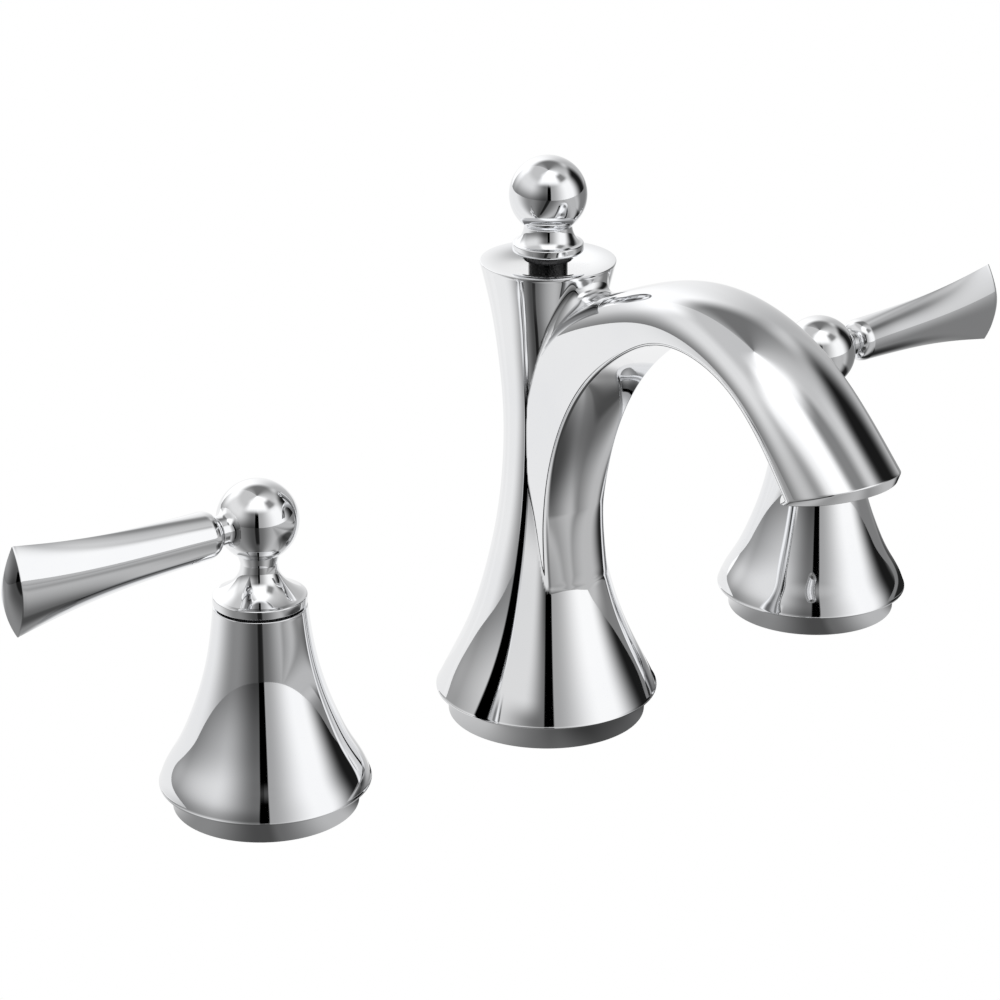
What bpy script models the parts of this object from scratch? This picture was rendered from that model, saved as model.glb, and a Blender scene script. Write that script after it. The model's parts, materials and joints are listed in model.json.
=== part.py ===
"""Widespread bathroom faucet: an arched spout with a lift rod, and two lever handles on bell bases.

The origin is the centre of the spout's seat on the deck. X runs along the row of handles, the spout
points to -Y, towards the user, and Z is up. What lies below zero is under the deck.
"""
import math

import bpy
import numpy as np

MM = 0.001

# How finely the round pieces are cut
OUTER_SIDES = 28
MIDDLE_SIDES = 20
FITTING_SIDES = 18
INNER_SIDES = 12
PORT_SIDES = 8
BELL_STEPS = 7
COLUMN_STEPS = 10
BALL_STEPS = 7
ARCH_STATIONS = 20
LEVER_STATIONS = 9

# Fits
CLEARANCE = 0.3 * MM
RUNNING_CLEARANCE = 0.6 * MM
CUT_OVERRUN = 1.0 * MM

# The row on the deck
HANDLE_SPACING = 203.2 * MM
ROW_OFFSET = 7.2 * MM
HANDLE_SETBACK = 4.1 * MM
DECK_THICKNESS = 20.0 * MM

# Base rings and deck gaskets
RING_WALL = 2.0 * MM
GASKET_THICKNESS = 3.0 * MM
HANDLE_RING_RADIUS = 24.6 * MM
HANDLE_RING_HEIGHT = 6.4 * MM
SPOUT_RING_RADIUS = 27.4 * MM
SPOUT_RING_HEIGHT = 7.1 * MM

# Bell under each handle
BELL_LIP_RADIUS = 28.0 * MM
BELL_TOP_RADIUS = 12.3 * MM
BELL_TOP_HEIGHT = 56.4 * MM
BELL_EDGE = 0.7 * MM
BELL_WALL = 2.2 * MM
BELL_FOOT_WIDTH = 5.5 * MM
BELL_FOOT_HEIGHT = 2.2 * MM
BELL_WEB_HEIGHT = 14.0 * MM
BELL_WEB_THICKNESS = 4.0 * MM
BELL_HOLE_RADIUS = 9.2 * MM
BELL_TOP_THICKNESS = 3.6 * MM
BELL_POWER_SHARE = 1.75

# Valve body and its nuts
VALVE_SHANK_RADIUS = 13.3 * MM
VALVE_SHANK_LENGTH = 56.0 * MM
VALVE_INLET_RADIUS = 10.3 * MM
VALVE_INLET_LENGTH = 20.0 * MM
VALVE_INLET_BORE = 6.4 * MM
VALVE_CHAMBER_RADIUS = 8.6 * MM
VALVE_NECK_WALL = 2.0 * MM
VALVE_RIM_RISE = 5.3 * MM
DECK_NUT_WALL = 3.4 * MM
DECK_NUT_THICKNESS = 3.0 * MM
PORT_OFFSET = 3.5 * MM
PORT_RADIUS = 2.2 * MM
OUTLET_RISE = 10.0 * MM
NIPPLE_RADIUS = 6.0 * MM
NIPPLE_BORE = 3.6 * MM
NIPPLE_WAY_STEP = 0.6 * MM
NIPPLE_REACH = 31.0 * MM
WASHER_RADIUS = 22.0 * MM
WASHER_THICKNESS = 2.0 * MM
MOUNTING_NUT_WALL = 5.4 * MM
MOUNTING_NUT_THICKNESS = 8.0 * MM

# Ceramic cartridge
SEAL_THICKNESS = 2.4 * MM
DISC_THICKNESS = 2.4 * MM
HOUSING_FIT = 0.4 * MM
HOUSING_WALL = 1.3 * MM
HOUSING_FLANGE_THICKNESS = 2.0 * MM
HOUSING_SNOUT_WALL = 1.9 * MM
HOUSING_SNOUT_LENGTH = 8.7 * MM
STEM_FOOT_THICKNESS = 3.0 * MM
STEM_RADIUS = 3.9 * MM
STEM_GRIP_SHARE = 0.64
BONNET_NUT_WALL = 1.0 * MM
BONNET_NUT_GAP = 2.5 * MM
BONNET_NUT_LIP = 2.4 * MM

# Handle hub, its adapter and the glide ring
GLIDE_RING_RADIUS = 10.9 * MM
GLIDE_RING_WIDTH = 1.3 * MM
GLIDE_RING_THICKNESS = 1.5 * MM
GLIDE_RING_SINK = 1.1 * MM
HUB_RIM_RADIUS = 12.3 * MM
HUB_RIM_BAND = 2.3 * MM
HUB_RIM_ROUND = 0.4 * MM
HUB_NECK_RADIUS = 4.8 * MM
HUB_CONE_HEIGHT = 11.2 * MM
HUB_COLLAR_STEP = 0.7 * MM
HUB_COLLAR_HEIGHT = 2.42 * MM
HUB_NECK_WALL = 1.6 * MM
BALL_RADIUS = 10.7 * MM
HUB_SOCKET_RADIUS = 8.3 * MM
HUB_SOCKET_DEPTH = 3.0 * MM
HUB_CONE_SHARE = 2.4
ADAPTER_SLEEVE_WALL = 2.0 * MM
ADAPTER_SLEEVE_GAP = 2.5 * MM
ADAPTER_SHOULDER_THICKNESS = 3.0 * MM
ADAPTER_PIN_RISE = 2.1 * MM
HUB_SCREW_LENGTH = 6.0 * MM

# Stub between the ball and the lever
STUB_ROOT_RADIUS = 5.3 * MM
STUB_NECK_RADIUS = 4.0 * MM
STUB_NECK_GAP = 0.9 * MM
STUB_LENGTH = 2.5 * MM
STUB_CONE_SHARE = 2.0
SPIGOT_STEP = 0.6 * MM
SPIGOT_WALL = 1.3 * MM
SPIGOT_LENGTH = 10.0 * MM

# Lever
LEVER_NOSE_STEP = 0.4 * MM
LEVER_NOSE_LENGTH = 3.6 * MM
LEVER_NOSE_SHARES = (0.0, 0.3, 0.65)
LEVER_ROOT_RADIUS = 6.2 * MM
LEVER_BLADE_LENGTH = 56.0 * MM
LEVER_TIP_HALF_HEIGHT = 12.0 * MM
LEVER_TIP_HALF_THICKNESS = 3.8 * MM
LEVER_DOME = 3.4 * MM
LEVER_FLARE_SHARE = 1.7
LEVER_LENS_SHARE = 1.7
LEVER_SCREW_RADIUS = 1.5 * MM
LEVER_SCREW_LENGTH = 1.9 * MM
LEVER_SCREW_INSET = 5.2 * MM

# Spout column
COLUMN_LIP_RADIUS = 30.8 * MM
COLUMN_EDGE = 0.7 * MM
COLUMN_WAIST_RADIUS = 11.95 * MM
COLUMN_NECK_LENGTH = 47.2 * MM
COLUMN_FLANGE_RADIUS = 18.2 * MM
COLUMN_FLANGE_EDGE = 0.6 * MM
COLUMN_TOP_HEIGHT = 131.2 * MM
LOWER_FLARE_SHARE = 2.25
UPPER_FLARE_SHARE = 1.87
COLUMN_WALL = 3.0 * MM
BOSS_WALL = 4.1 * MM
BOSS_THREAD_DEPTH = 9.0 * MM
BASE_POCKET_HEIGHT = 29.0 * MM
COLUMN_BORE_WALL = 3.95 * MM
SLEEVE_GUIDE_LENGTH = 10.3 * MM
BUSHING_SEAT_DEPTH = 12.9 * MM

# Arch of the spout, seen from the side: how far its underside lies in front of the axis, and how high
ARCH_LEG_FRONT = 10.9 * MM
ARCH_FOOT_HEIGHT = 41.4 * MM
ARCH_PEAK_DROP = 5.3 * MM
ARCH_OUTLET_FRONT = 108.1 * MM
ARCH_OUTLET_DROP = 27.1 * MM
ARCH_OUTLET_SLOPE_SHARE = 0.3
ARCH_LIP_DROP = 1.3 * MM
ARCH_LIP_SETBACK = 1.5 * MM
ARCH_LIP_SLOPE_SHARE = 0.16
ARCH_FORWARD_SHARES = (0.0, 0.0035, 0.063, 0.194, 0.33, 0.494, 0.76, 1.0)
ARCH_RISE_SHARES = (0.0, 0.2225, 0.535, 0.7775, 0.907, 0.992, 0.946)
ARCH_TURN_START_SHARE = 0.62
# Half width, depth to the crown and squareness of its section at even steps from foot to outlet
ARCH_FOOT_HALF_WIDTH = 10.2 * MM
ARCH_OUTLET_HALF_WIDTH = 17.6 * MM
ARCH_WIDTH_SHARES = (0.0, 0.17, 0.35, 0.74, 1.0)
ARCH_OUTLET_DEPTH = 15.0 * MM
ARCH_DEPTH_SHARES = (1.27, 1.4, 1.6, 1.54, 1.17, 0.885, 0.76, 0.83, 1.0)
ARCH_SQUARENESS_SHARES = (4.0, 4.0, 4.0, 3.6, 3.1, 2.6, 2.2, 2.0, 2.0)
ARCH_OUTLET_BULGE = 10.4 * MM
ARCH_BULGE_SHARES = (0.33, 0.27, 0.14, 0.08, 0.06, 0.12, 0.5, 0.9, 1.0)
WATERWAY_RADIUS = 3.3 * MM
WATERWAY_START_SHARE = 0.44
WATERWAY_INSET = 3.0 * MM

# Aerator
AERATOR_RADIUS = 7.4 * MM
AERATOR_SETBACK = 1.6 * MM
AERATOR_HEIGHT = 4.6 * MM
AERATOR_WALL = 1.4 * MM
AERATOR_RECESS = 0.4 * MM
AERATOR_LEDGE_HEIGHT = 1.6 * MM
SCREEN_THICKNESS = 1.0 * MM
AERATOR_GASKET_THICKNESS = 1.0 * MM
AERATOR_LEDGE_WIDTH = 1.0 * MM

# Spout shank, its fastenings and the mixing tee
SHANK_RADIUS = 11.1 * MM
SHANK_WALL = 2.6 * MM
SHANK_LENGTH = 66.0 * MM
TEE_WALL = 3.3 * MM
TEE_SOCKET_DEPTH = 10.0 * MM
TEE_CHAMBER_DEPTH = 14.0 * MM
TEE_FLOOR_THICKNESS = 6.0 * MM
TEE_NIPPLE_REACH = 32.0 * MM
SPOUT_WASHER_RADIUS = 22.0 * MM
SPOUT_NUT_WALL = 5.6 * MM

# Lift rod, its sleeve, bushing and knob
SLEEVE_WALL = 0.9 * MM
SLEEVE_TAIL = 2.0 * MM
SLEEVE_RING_WIDTH = 2.2 * MM
ROD_RADIUS = 2.2 * MM
ROD_TAIL = 29.7 * MM
BUSHING_STEP = 1.3 * MM
BUSHING_FLANGE_WIDTH = 1.5 * MM
BUSHING_FLANGE_THICKNESS = 1.4 * MM
KNOB_GAP = 0.9 * MM
KNOB_COLLAR_RADIUS = 9.5 * MM
KNOB_COLLAR_BAND = 2.0 * MM
KNOB_COLLAR_ROUND = 0.4 * MM
KNOB_NECK_RADIUS = 6.3 * MM
KNOB_CONE_HEIGHT = 6.0 * MM
KNOB_NECK_BAND = 1.08 * MM
KNOB_CONE_SHARE = 2.2
KNOB_BALL_RADIUS = 10.4 * MM
KNOB_SOCKET_DEPTH = 13.0 * MM

FINISHES = {
    "chrome": ((0.82, 0.83, 0.85), 0.04, 1.0),
    "brass": ((0.72, 0.53, 0.26), 0.32, 1.0),
    "stainless": ((0.62, 0.62, 0.63), 0.28, 1.0),
    "rubber": ((0.03, 0.03, 0.035), 0.75, 0.0),
    "plastic": ((0.08, 0.08, 0.09), 0.45, 0.0),
    "white_plastic": ((0.78, 0.78, 0.76), 0.4, 0.0),
    "ceramic": ((0.9, 0.9, 0.88), 0.2, 0.0),
}
SHARP_ANGLE = math.radians(32)


def paint(thing, finish):
    """Give a piece a material of its own."""
    colour, roughness, metallic = FINISHES[finish]
    material = bpy.data.materials.new(thing.name + "_" + finish)
    material.use_nodes = True
    shader = material.node_tree.nodes["Principled BSDF"]
    shader.inputs["Base Color"].default_value = (*colour, 1.0)
    shader.inputs["Roughness"].default_value = roughness
    shader.inputs["Metallic"].default_value = metallic
    thing.data.materials.append(material)


def volume_of(corners, faces):
    """Signed volume inside a closed skin."""
    total = 0.0
    for face in faces:
        for second, third in zip(face[1:-1], face[2:]):
            total += np.dot(corners[face[0]], np.cross(corners[second], corners[third]))
    return total


def solid(name, rings, looped, finish=None, place=(0.0, 0.0, 0.0), turn=0.0):
    """Join successive rings of points into a closed skin; a ring of one point is a pole.

    A looped skin joins its last ring to its first. Any other is capped at rings that aren't poles.
    Without a finish the piece is a cutter or a guide.
    """
    starts = np.cumsum([0] + [len(ring) for ring in rings])
    corners = np.concatenate(rings)
    sides = max(len(ring) for ring in rings)
    faces = []
    for index in range(len(rings) if looped else len(rings) - 1):
        after = (index + 1) % len(rings)
        low, high = starts[index], starts[after]
        low_pole, high_pole = len(rings[index]) == 1, len(rings[after]) == 1
        for side in range(sides):
            step = (side + 1) % sides
            if low_pole and high_pole:
                continue
            if low_pole:
                faces.append((low, high + step, high + side))
            elif high_pole:
                faces.append((low + side, low + step, high))
            else:
                faces.append((low + side, low + step, high + step, high + side))
    if not looped and len(rings[0]) > 1:
        faces.append(tuple(starts[0] + side for side in reversed(range(sides))))
    if not looped and len(rings[-1]) > 1:
        faces.append(tuple(starts[-2] + side for side in range(sides)))
    if volume_of(corners, faces) < 0:
        faces = [tuple(reversed(face)) for face in faces]
    mesh = bpy.data.meshes.new(name)
    mesh.from_pydata(corners.tolist(), [], faces)
    mesh.shade_smooth()
    mesh.set_sharp_from_angle(angle=SHARP_ANGLE)
    thing = bpy.data.objects.new(name, mesh)
    thing.location = place
    thing.rotation_euler = (0.0, 0.0, turn)
    bpy.context.scene.collection.objects.link(thing)
    if finish:
        paint(thing, finish)
    else:
        thing.hide_render = True
        thing.display_type = "WIRE"
    return thing


def round_angles(sides):
    """Even steps round a circle, half a step off the X axis."""
    return (np.arange(sides) + 0.5) * 2.0 * math.pi / sides


def circle(radius, height, sides):
    """Points on a level circle; a radius of zero is one point on the axis."""
    if radius == 0.0:
        return np.array([(0.0, 0.0, height)])
    angles = round_angles(sides)
    return np.stack([radius * np.cos(angles), radius * np.sin(angles), np.full(sides, height)], axis=1)


def turned_rings(outline, sides):
    return [circle(radius, height, sides) for radius, height in outline]


def turned(name, outline, sides, finish=None, **where):
    """A turned piece: its outline of (radius, height) points goes right round the section."""
    return solid(name, turned_rings(outline, sides), True, finish, **where)


def lying(rings, height):
    """Turn rings that stand on Z so that they lie along X at a height."""
    return [np.stack([ring[:, 2], ring[:, 0], ring[:, 1] + height], axis=1) for ring in rings]


def tube_outline(outer, inner, bottom, top):
    return [(inner, bottom), (outer, bottom), (outer, top), (inner, top)]


def rod_outline(radius, bottom, top):
    return [(0.0, bottom), (radius, bottom), (radius, top), (0.0, top)]


def flare(start_radius, start_height, end_radius, end_height, power, steps):
    """A curved flare: the radius changes as a power of the way from the start to the end."""
    shares = np.linspace(0.0, 1.0, steps + 1)
    radii = start_radius + (end_radius - start_radius) * shares ** power
    heights = start_height + (end_height - start_height) * shares
    return list(zip(radii, heights))


def ball_arc(radius, centre_height, start_radius, steps):
    """Up the outside of a ball, from below its middle to its top."""
    angles = np.linspace(-math.acos(start_radius / radius), math.pi / 2.0, steps + 1)
    arc = [(radius * math.cos(angle), centre_height + radius * math.sin(angle)) for angle in angles[:-1]]
    return arc + [(0.0, centre_height + radius)]


def nut(name, width, bore_outline, finish, **where):
    """A hexagon nut round the outline of its bore: the outer wall's radius follows the six flats."""
    angles = round_angles(FITTING_SIDES)
    sector = math.pi / 3.0
    reach = width / 2.0 / np.cos(np.mod(angles + sector / 2.0, sector) - sector / 2.0)
    rings = turned_rings(bore_outline, FITTING_SIDES)
    for height in (bore_outline[-1][1], bore_outline[0][1]):
        level = np.full(FITTING_SIDES, height)
        rings.append(np.stack([reach * np.cos(angles), reach * np.sin(angles), level], axis=1))
    return solid(name, rings, True, finish, **where)


def combine(thing, other, operation):
    """Keep a Boolean on the piece; the other body is a guide that the model leaves out."""
    step = thing.modifiers.new(operation.lower() + "_" + other.name, "BOOLEAN")
    step.operation = operation
    step.object = other
    step.solver = "EXACT"


def spline(knots, values, where):
    """A natural cubic curve through values at knots, read at the given places, with its slope."""
    knots, values, where = (np.asarray(item, float) for item in (knots, values, where))
    gaps = np.diff(knots)
    count = len(knots)
    system = np.eye(count)
    right = np.zeros(count)
    for row in range(1, count - 1):
        system[row, row - 1:row + 2] = (gaps[row - 1], 2.0 * (gaps[row - 1] + gaps[row]), gaps[row])
        rises = np.diff(values)[row - 1:row + 1] / gaps[row - 1:row + 1]
        right[row] = 6.0 * (rises[1] - rises[0])
    bends = np.linalg.solve(system, right)
    cell = np.clip(np.searchsorted(knots, where, side="right") - 1, 0, count - 2)
    gap, past, left = gaps[cell], where - knots[cell], knots[cell + 1] - where
    low_bend, high_bend = bends[cell], bends[cell + 1]
    start = values[cell] / gap - low_bend * gap / 6.0
    end = values[cell + 1] / gap - high_bend * gap / 6.0
    heights = (low_bend * left ** 3 + high_bend * past ** 3) / (6.0 * gap) + start * left + end * past
    slopes = (high_bend * past ** 2 - low_bend * left ** 2) / (2.0 * gap) - start + end
    return heights, slopes


def even_spline(shares, where):
    return spline(np.linspace(0.0, 1.0, len(shares)), shares, where)[0]


def eased(start_share, shares):
    """Nothing before the start share, then a smooth rise to one at the end."""
    past = np.clip((shares - start_share) / (1.0 - start_share), 0.0, 1.0)
    return past * past * (3.0 - 2.0 * past)


def ball_rise(ball_radius, neck_radius):
    """How far a ball's middle lies above the neck that it sits on."""
    return math.sqrt(ball_radius ** 2 - neck_radius ** 2)


# Radii and widths that follow from the piece they fit
VALVE_NECK_RADIUS = VALVE_CHAMBER_RADIUS + VALVE_NECK_WALL
NIPPLE_WAY_RADIUS = NIPPLE_BORE - NIPPLE_WAY_STEP
DECK_NUT_WIDTH = 2.0 * (VALVE_SHANK_RADIUS + CLEARANCE + DECK_NUT_WALL)
MOUNTING_NUT_WIDTH = 2.0 * (VALVE_SHANK_RADIUS + CLEARANCE + MOUNTING_NUT_WALL)
BONNET_NUT_WIDTH = 2.0 * (VALVE_NECK_RADIUS + CLEARANCE + BONNET_NUT_WALL)
HOUSING_RADIUS = VALVE_CHAMBER_RADIUS - HOUSING_FIT
HOUSING_FLANGE_RADIUS = VALVE_NECK_RADIUS - HOUSING_FIT
HOUSING_SNOUT_RADIUS = STEM_RADIUS + RUNNING_CLEARANCE + HOUSING_SNOUT_WALL
DISC_RADIUS = HOUSING_RADIUS - HOUSING_WALL - RUNNING_CLEARANCE
ADAPTER_SLEEVE_RADIUS = STEM_RADIUS + CLEARANCE + ADAPTER_SLEEVE_WALL
ADAPTER_PIN_RADIUS = HUB_NECK_RADIUS - HUB_NECK_WALL - CLEARANCE
HUB_COLLAR_RADIUS = HUB_NECK_RADIUS + HUB_COLLAR_STEP
SPIGOT_RADIUS = STUB_NECK_RADIUS - SPIGOT_STEP
HUB_SCREW_RADIUS = SPIGOT_RADIUS - SPIGOT_WALL - CLEARANCE
LEVER_NOSE_RADIUS = STUB_NECK_RADIUS + LEVER_NOSE_STEP
COLUMN_BORE_RADIUS = COLUMN_WAIST_RADIUS - COLUMN_BORE_WALL
BOSS_RADIUS = SHANK_RADIUS + BOSS_WALL
TEE_RADIUS = SHANK_RADIUS + TEE_WALL
SPOUT_NUT_WIDTH = 2.0 * (SHANK_RADIUS + CLEARANCE + SPOUT_NUT_WALL)
AERATOR_BORE = AERATOR_RADIUS - AERATOR_WALL
AERATOR_GASKET_BORE = AERATOR_BORE - AERATOR_LEDGE_WIDTH
SLEEVE_RADIUS = ROD_RADIUS + RUNNING_CLEARANCE + SLEEVE_WALL
BUSHING_RADIUS = SLEEVE_RADIUS + BUSHING_STEP
BUSHING_FLANGE_RADIUS = BUSHING_RADIUS + BUSHING_FLANGE_WIDTH

# Reaches along a lever, from its hub's axis
STUB_NECK_REACH = BALL_RADIUS + STUB_NECK_GAP
STUB_REACH = BALL_RADIUS + STUB_LENGTH
LEVER_ROOT_REACH = STUB_REACH + LEVER_NOSE_LENGTH
LEVER_TIP_REACH = LEVER_ROOT_REACH + LEVER_BLADE_LENGTH
LEVER_SCREW_REACH = STUB_REACH + LEVER_SCREW_INSET

# Heights that the stacked pieces share
HANDLE_SEAT = HANDLE_RING_HEIGHT + CLEARANCE
SPOUT_SEAT = SPOUT_RING_HEIGHT + CLEARANCE
DECK_UNDERSIDE = -DECK_THICKNESS - CLEARANCE
VALVE_SHANK_BOTTOM = -VALVE_SHANK_LENGTH
CHAMBER_FLOOR = HANDLE_SEAT + DECK_NUT_THICKNESS + CLEARANCE
SEAL_BOTTOM = CHAMBER_FLOOR + CLEARANCE
FIXED_DISC_BOTTOM = SEAL_BOTTOM + SEAL_THICKNESS + CLEARANCE
MOVING_DISC_BOTTOM = FIXED_DISC_BOTTOM + DISC_THICKNESS + CLEARANCE
STEM_BOTTOM = MOVING_DISC_BOTTOM + DISC_THICKNESS + CLEARANCE
HOUSING_SHOULDER = STEM_BOTTOM + STEM_FOOT_THICKNESS + CLEARANCE
VALVE_TOP_HEIGHT = HOUSING_SHOULDER + VALVE_RIM_RISE
HOUSING_FLANGE_BOTTOM = VALVE_TOP_HEIGHT + CLEARANCE
HOUSING_FLANGE_TOP = HOUSING_FLANGE_BOTTOM + HOUSING_FLANGE_THICKNESS
HOUSING_TOP_HEIGHT = HOUSING_FLANGE_TOP + HOUSING_SNOUT_LENGTH
BONNET_NUT_BOTTOM = BELL_WEB_HEIGHT + BELL_WEB_THICKNESS + BONNET_NUT_GAP
GLIDE_RING_BOTTOM = BELL_TOP_HEIGHT - GLIDE_RING_SINK
GLIDE_RING_TOP = GLIDE_RING_BOTTOM + GLIDE_RING_THICKNESS
HUB_BOTTOM = GLIDE_RING_TOP + CLEARANCE
HUB_SOCKET_TOP = HUB_BOTTOM + HUB_SOCKET_DEPTH
HUB_NECK_HEIGHT = HUB_BOTTOM + HUB_CONE_HEIGHT
BALL_HEIGHT = HUB_NECK_HEIGHT + HUB_COLLAR_HEIGHT + ball_rise(BALL_RADIUS, HUB_COLLAR_RADIUS)
ADAPTER_SHOULDER_TOP = HUB_SOCKET_TOP - CLEARANCE
ADAPTER_SHOULDER_BOTTOM = ADAPTER_SHOULDER_TOP - ADAPTER_SHOULDER_THICKNESS
ADAPTER_SLEEVE_BOTTOM = HOUSING_TOP_HEIGHT + ADAPTER_SLEEVE_GAP
ADAPTER_PIN_TOP = BALL_HEIGHT + ADAPTER_PIN_RISE
STEM_TOP_HEIGHT = HOUSING_TOP_HEIGHT + (ADAPTER_SHOULDER_BOTTOM - HOUSING_TOP_HEIGHT) * STEM_GRIP_SHARE
COLUMN_WAIST_HEIGHT = COLUMN_TOP_HEIGHT - COLUMN_NECK_LENGTH
BUSHING_SEAT_HEIGHT = COLUMN_TOP_HEIGHT - BUSHING_SEAT_DEPTH
COLUMN_BORE_TOP = BUSHING_SEAT_HEIGHT - SLEEVE_GUIDE_LENGTH
ARCH_PEAK_HEIGHT = COLUMN_TOP_HEIGHT - ARCH_PEAK_DROP
ARCH_OUTLET_HEIGHT = ARCH_PEAK_HEIGHT - ARCH_OUTLET_DROP
KNOB_BOTTOM = COLUMN_TOP_HEIGHT + CLEARANCE + BUSHING_FLANGE_THICKNESS + KNOB_GAP
KNOB_NECK_HEIGHT = KNOB_BOTTOM + KNOB_CONE_HEIGHT
KNOB_BALL_HEIGHT = KNOB_NECK_HEIGHT + KNOB_NECK_BAND + ball_rise(KNOB_BALL_RADIUS, KNOB_NECK_RADIUS)
SHANK_BOTTOM = -SHANK_LENGTH
TEE_TOP = SHANK_BOTTOM + TEE_SOCKET_DEPTH
TEE_CHAMBER_TOP = SHANK_BOTTOM - CLEARANCE
TEE_CHAMBER_BOTTOM = TEE_CHAMBER_TOP - TEE_CHAMBER_DEPTH
TEE_BOTTOM = TEE_CHAMBER_BOTTOM - TEE_FLOOR_THICKNESS
SLEEVE_BOTTOM = TEE_BOTTOM - SLEEVE_TAIL
ROD_BOTTOM = SLEEVE_BOTTOM - ROD_TAIL
AERATOR_FORWARD = ARCH_OUTLET_FRONT - AERATOR_SETBACK
LIP_HEIGHT = ARCH_OUTLET_HEIGHT - ARCH_LIP_DROP
AERATOR_BOTTOM = LIP_HEIGHT + AERATOR_RADIUS * ARCH_LIP_SLOPE_SHARE + AERATOR_RECESS
AERATOR_TOP = AERATOR_BOTTOM + AERATOR_HEIGHT
AERATOR_GASKET_BOTTOM = AERATOR_TOP + CLEARANCE
AERATOR_SEAT = AERATOR_GASKET_BOTTOM + AERATOR_GASKET_THICKNESS + CLEARANCE


def base_ring(name, radius, height, hole, where):
    """A skirt on the deck with a web across its top, and the gasket that fills it."""
    inside = radius - RING_WALL
    web_bottom = GASKET_THICKNESS + CLEARANCE
    outline = [(hole, web_bottom), (inside, web_bottom), (inside, 0.0)]
    outline += [(radius, 0.0), (radius, height), (hole, height)]
    turned(name + "_base_ring", outline, OUTER_SIDES, "chrome", **where)
    gasket = tube_outline(inside - RUNNING_CLEARANCE, hole, 0.0, GASKET_THICKNESS)
    turned(name + "_deck_gasket", gasket, OUTER_SIDES, "rubber", **where)


def under_deck(name, bore, washer_radius, nut_width, where):
    """The washer and the nut that pull a shank down from below the deck."""
    washer_bottom = DECK_UNDERSIDE - WASHER_THICKNESS
    nut_top = washer_bottom - CLEARANCE
    washer = tube_outline(washer_radius, bore, washer_bottom, DECK_UNDERSIDE)
    turned(name + "_mounting_washer", washer, FITTING_SIDES, "rubber", **where)
    nut_bore = [(bore, nut_top - MOUNTING_NUT_THICKNESS), (bore, nut_top)]
    nut(name + "_mounting_nut", nut_width, nut_bore, "brass", **where)


def bell_radius(height):
    way = (BELL_TOP_HEIGHT - height) / (BELL_TOP_HEIGHT - HANDLE_SEAT - BELL_EDGE)
    return BELL_TOP_RADIUS + (BELL_LIP_RADIUS - BELL_TOP_RADIUS) * way ** BELL_POWER_SHARE


def escutcheon(name, where):
    """The bell: a flared shell with a foot, a threaded web and a seat for the glide ring."""
    lip_top = HANDLE_SEAT + BELL_EDGE
    foot_top = HANDLE_SEAT + BELL_FOOT_HEIGHT
    foot_radius = BELL_LIP_RADIUS - BELL_FOOT_WIDTH
    web_top = BELL_WEB_HEIGHT + BELL_WEB_THICKNESS
    web_radius = VALVE_NECK_RADIUS + CLEARANCE
    ceiling = BELL_TOP_HEIGHT - BELL_TOP_THICKNESS
    seat_radius = GLIDE_RING_RADIUS + CLEARANCE
    seat_height = GLIDE_RING_BOTTOM - CLEARANCE
    top_edge, lip_edge = (BELL_TOP_RADIUS, BELL_TOP_HEIGHT), (BELL_LIP_RADIUS, lip_top)
    outer = flare(*top_edge, *lip_edge, BELL_POWER_SHARE, BELL_STEPS)[::-1]
    outline = [(foot_radius, HANDLE_SEAT), (BELL_LIP_RADIUS, HANDLE_SEAT)] + outer
    outline += [(seat_radius, BELL_TOP_HEIGHT), (seat_radius, seat_height)]
    outline += [(BELL_HOLE_RADIUS, seat_height), (BELL_HOLE_RADIUS, ceiling)]
    for height in np.linspace(ceiling, web_top, 3):
        outline.append((bell_radius(height) - BELL_WALL, height))
    outline += [(web_radius, web_top), (web_radius, BELL_WEB_HEIGHT)]
    for height in (BELL_WEB_HEIGHT, foot_top):
        outline.append((bell_radius(height) - BELL_WALL, height))
    outline.append((foot_radius, foot_top))
    turned(name, outline, OUTER_SIDES, "chrome", **where)


def upright(name, offset, radius, bottom, top, finish, where):
    """A round upright rod, set off from the axis along the lever's line."""
    aside = np.array((offset, 0.0, 0.0))
    rings = [circle(radius, height, PORT_SIDES) + aside for height in (bottom, top)]
    return solid(name, rings, False, finish, **where)


def side_nipple(body, root, reach, way_ends, height, where):
    """A hose nipple on a body's side, along X, and the way into it through the body's wall."""
    tube = turned_rings(tube_outline(NIPPLE_RADIUS, NIPPLE_BORE, root, reach), INNER_SIDES)
    combine(body, solid("nipple_guide", lying(tube, height), True, **where), "UNION")
    way = turned_rings(rod_outline(NIPPLE_WAY_RADIUS, *way_ends), INNER_SIDES)
    combine(body, solid("side_way_cutter", lying(way, height), True, **where), "DIFFERENCE")


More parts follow.
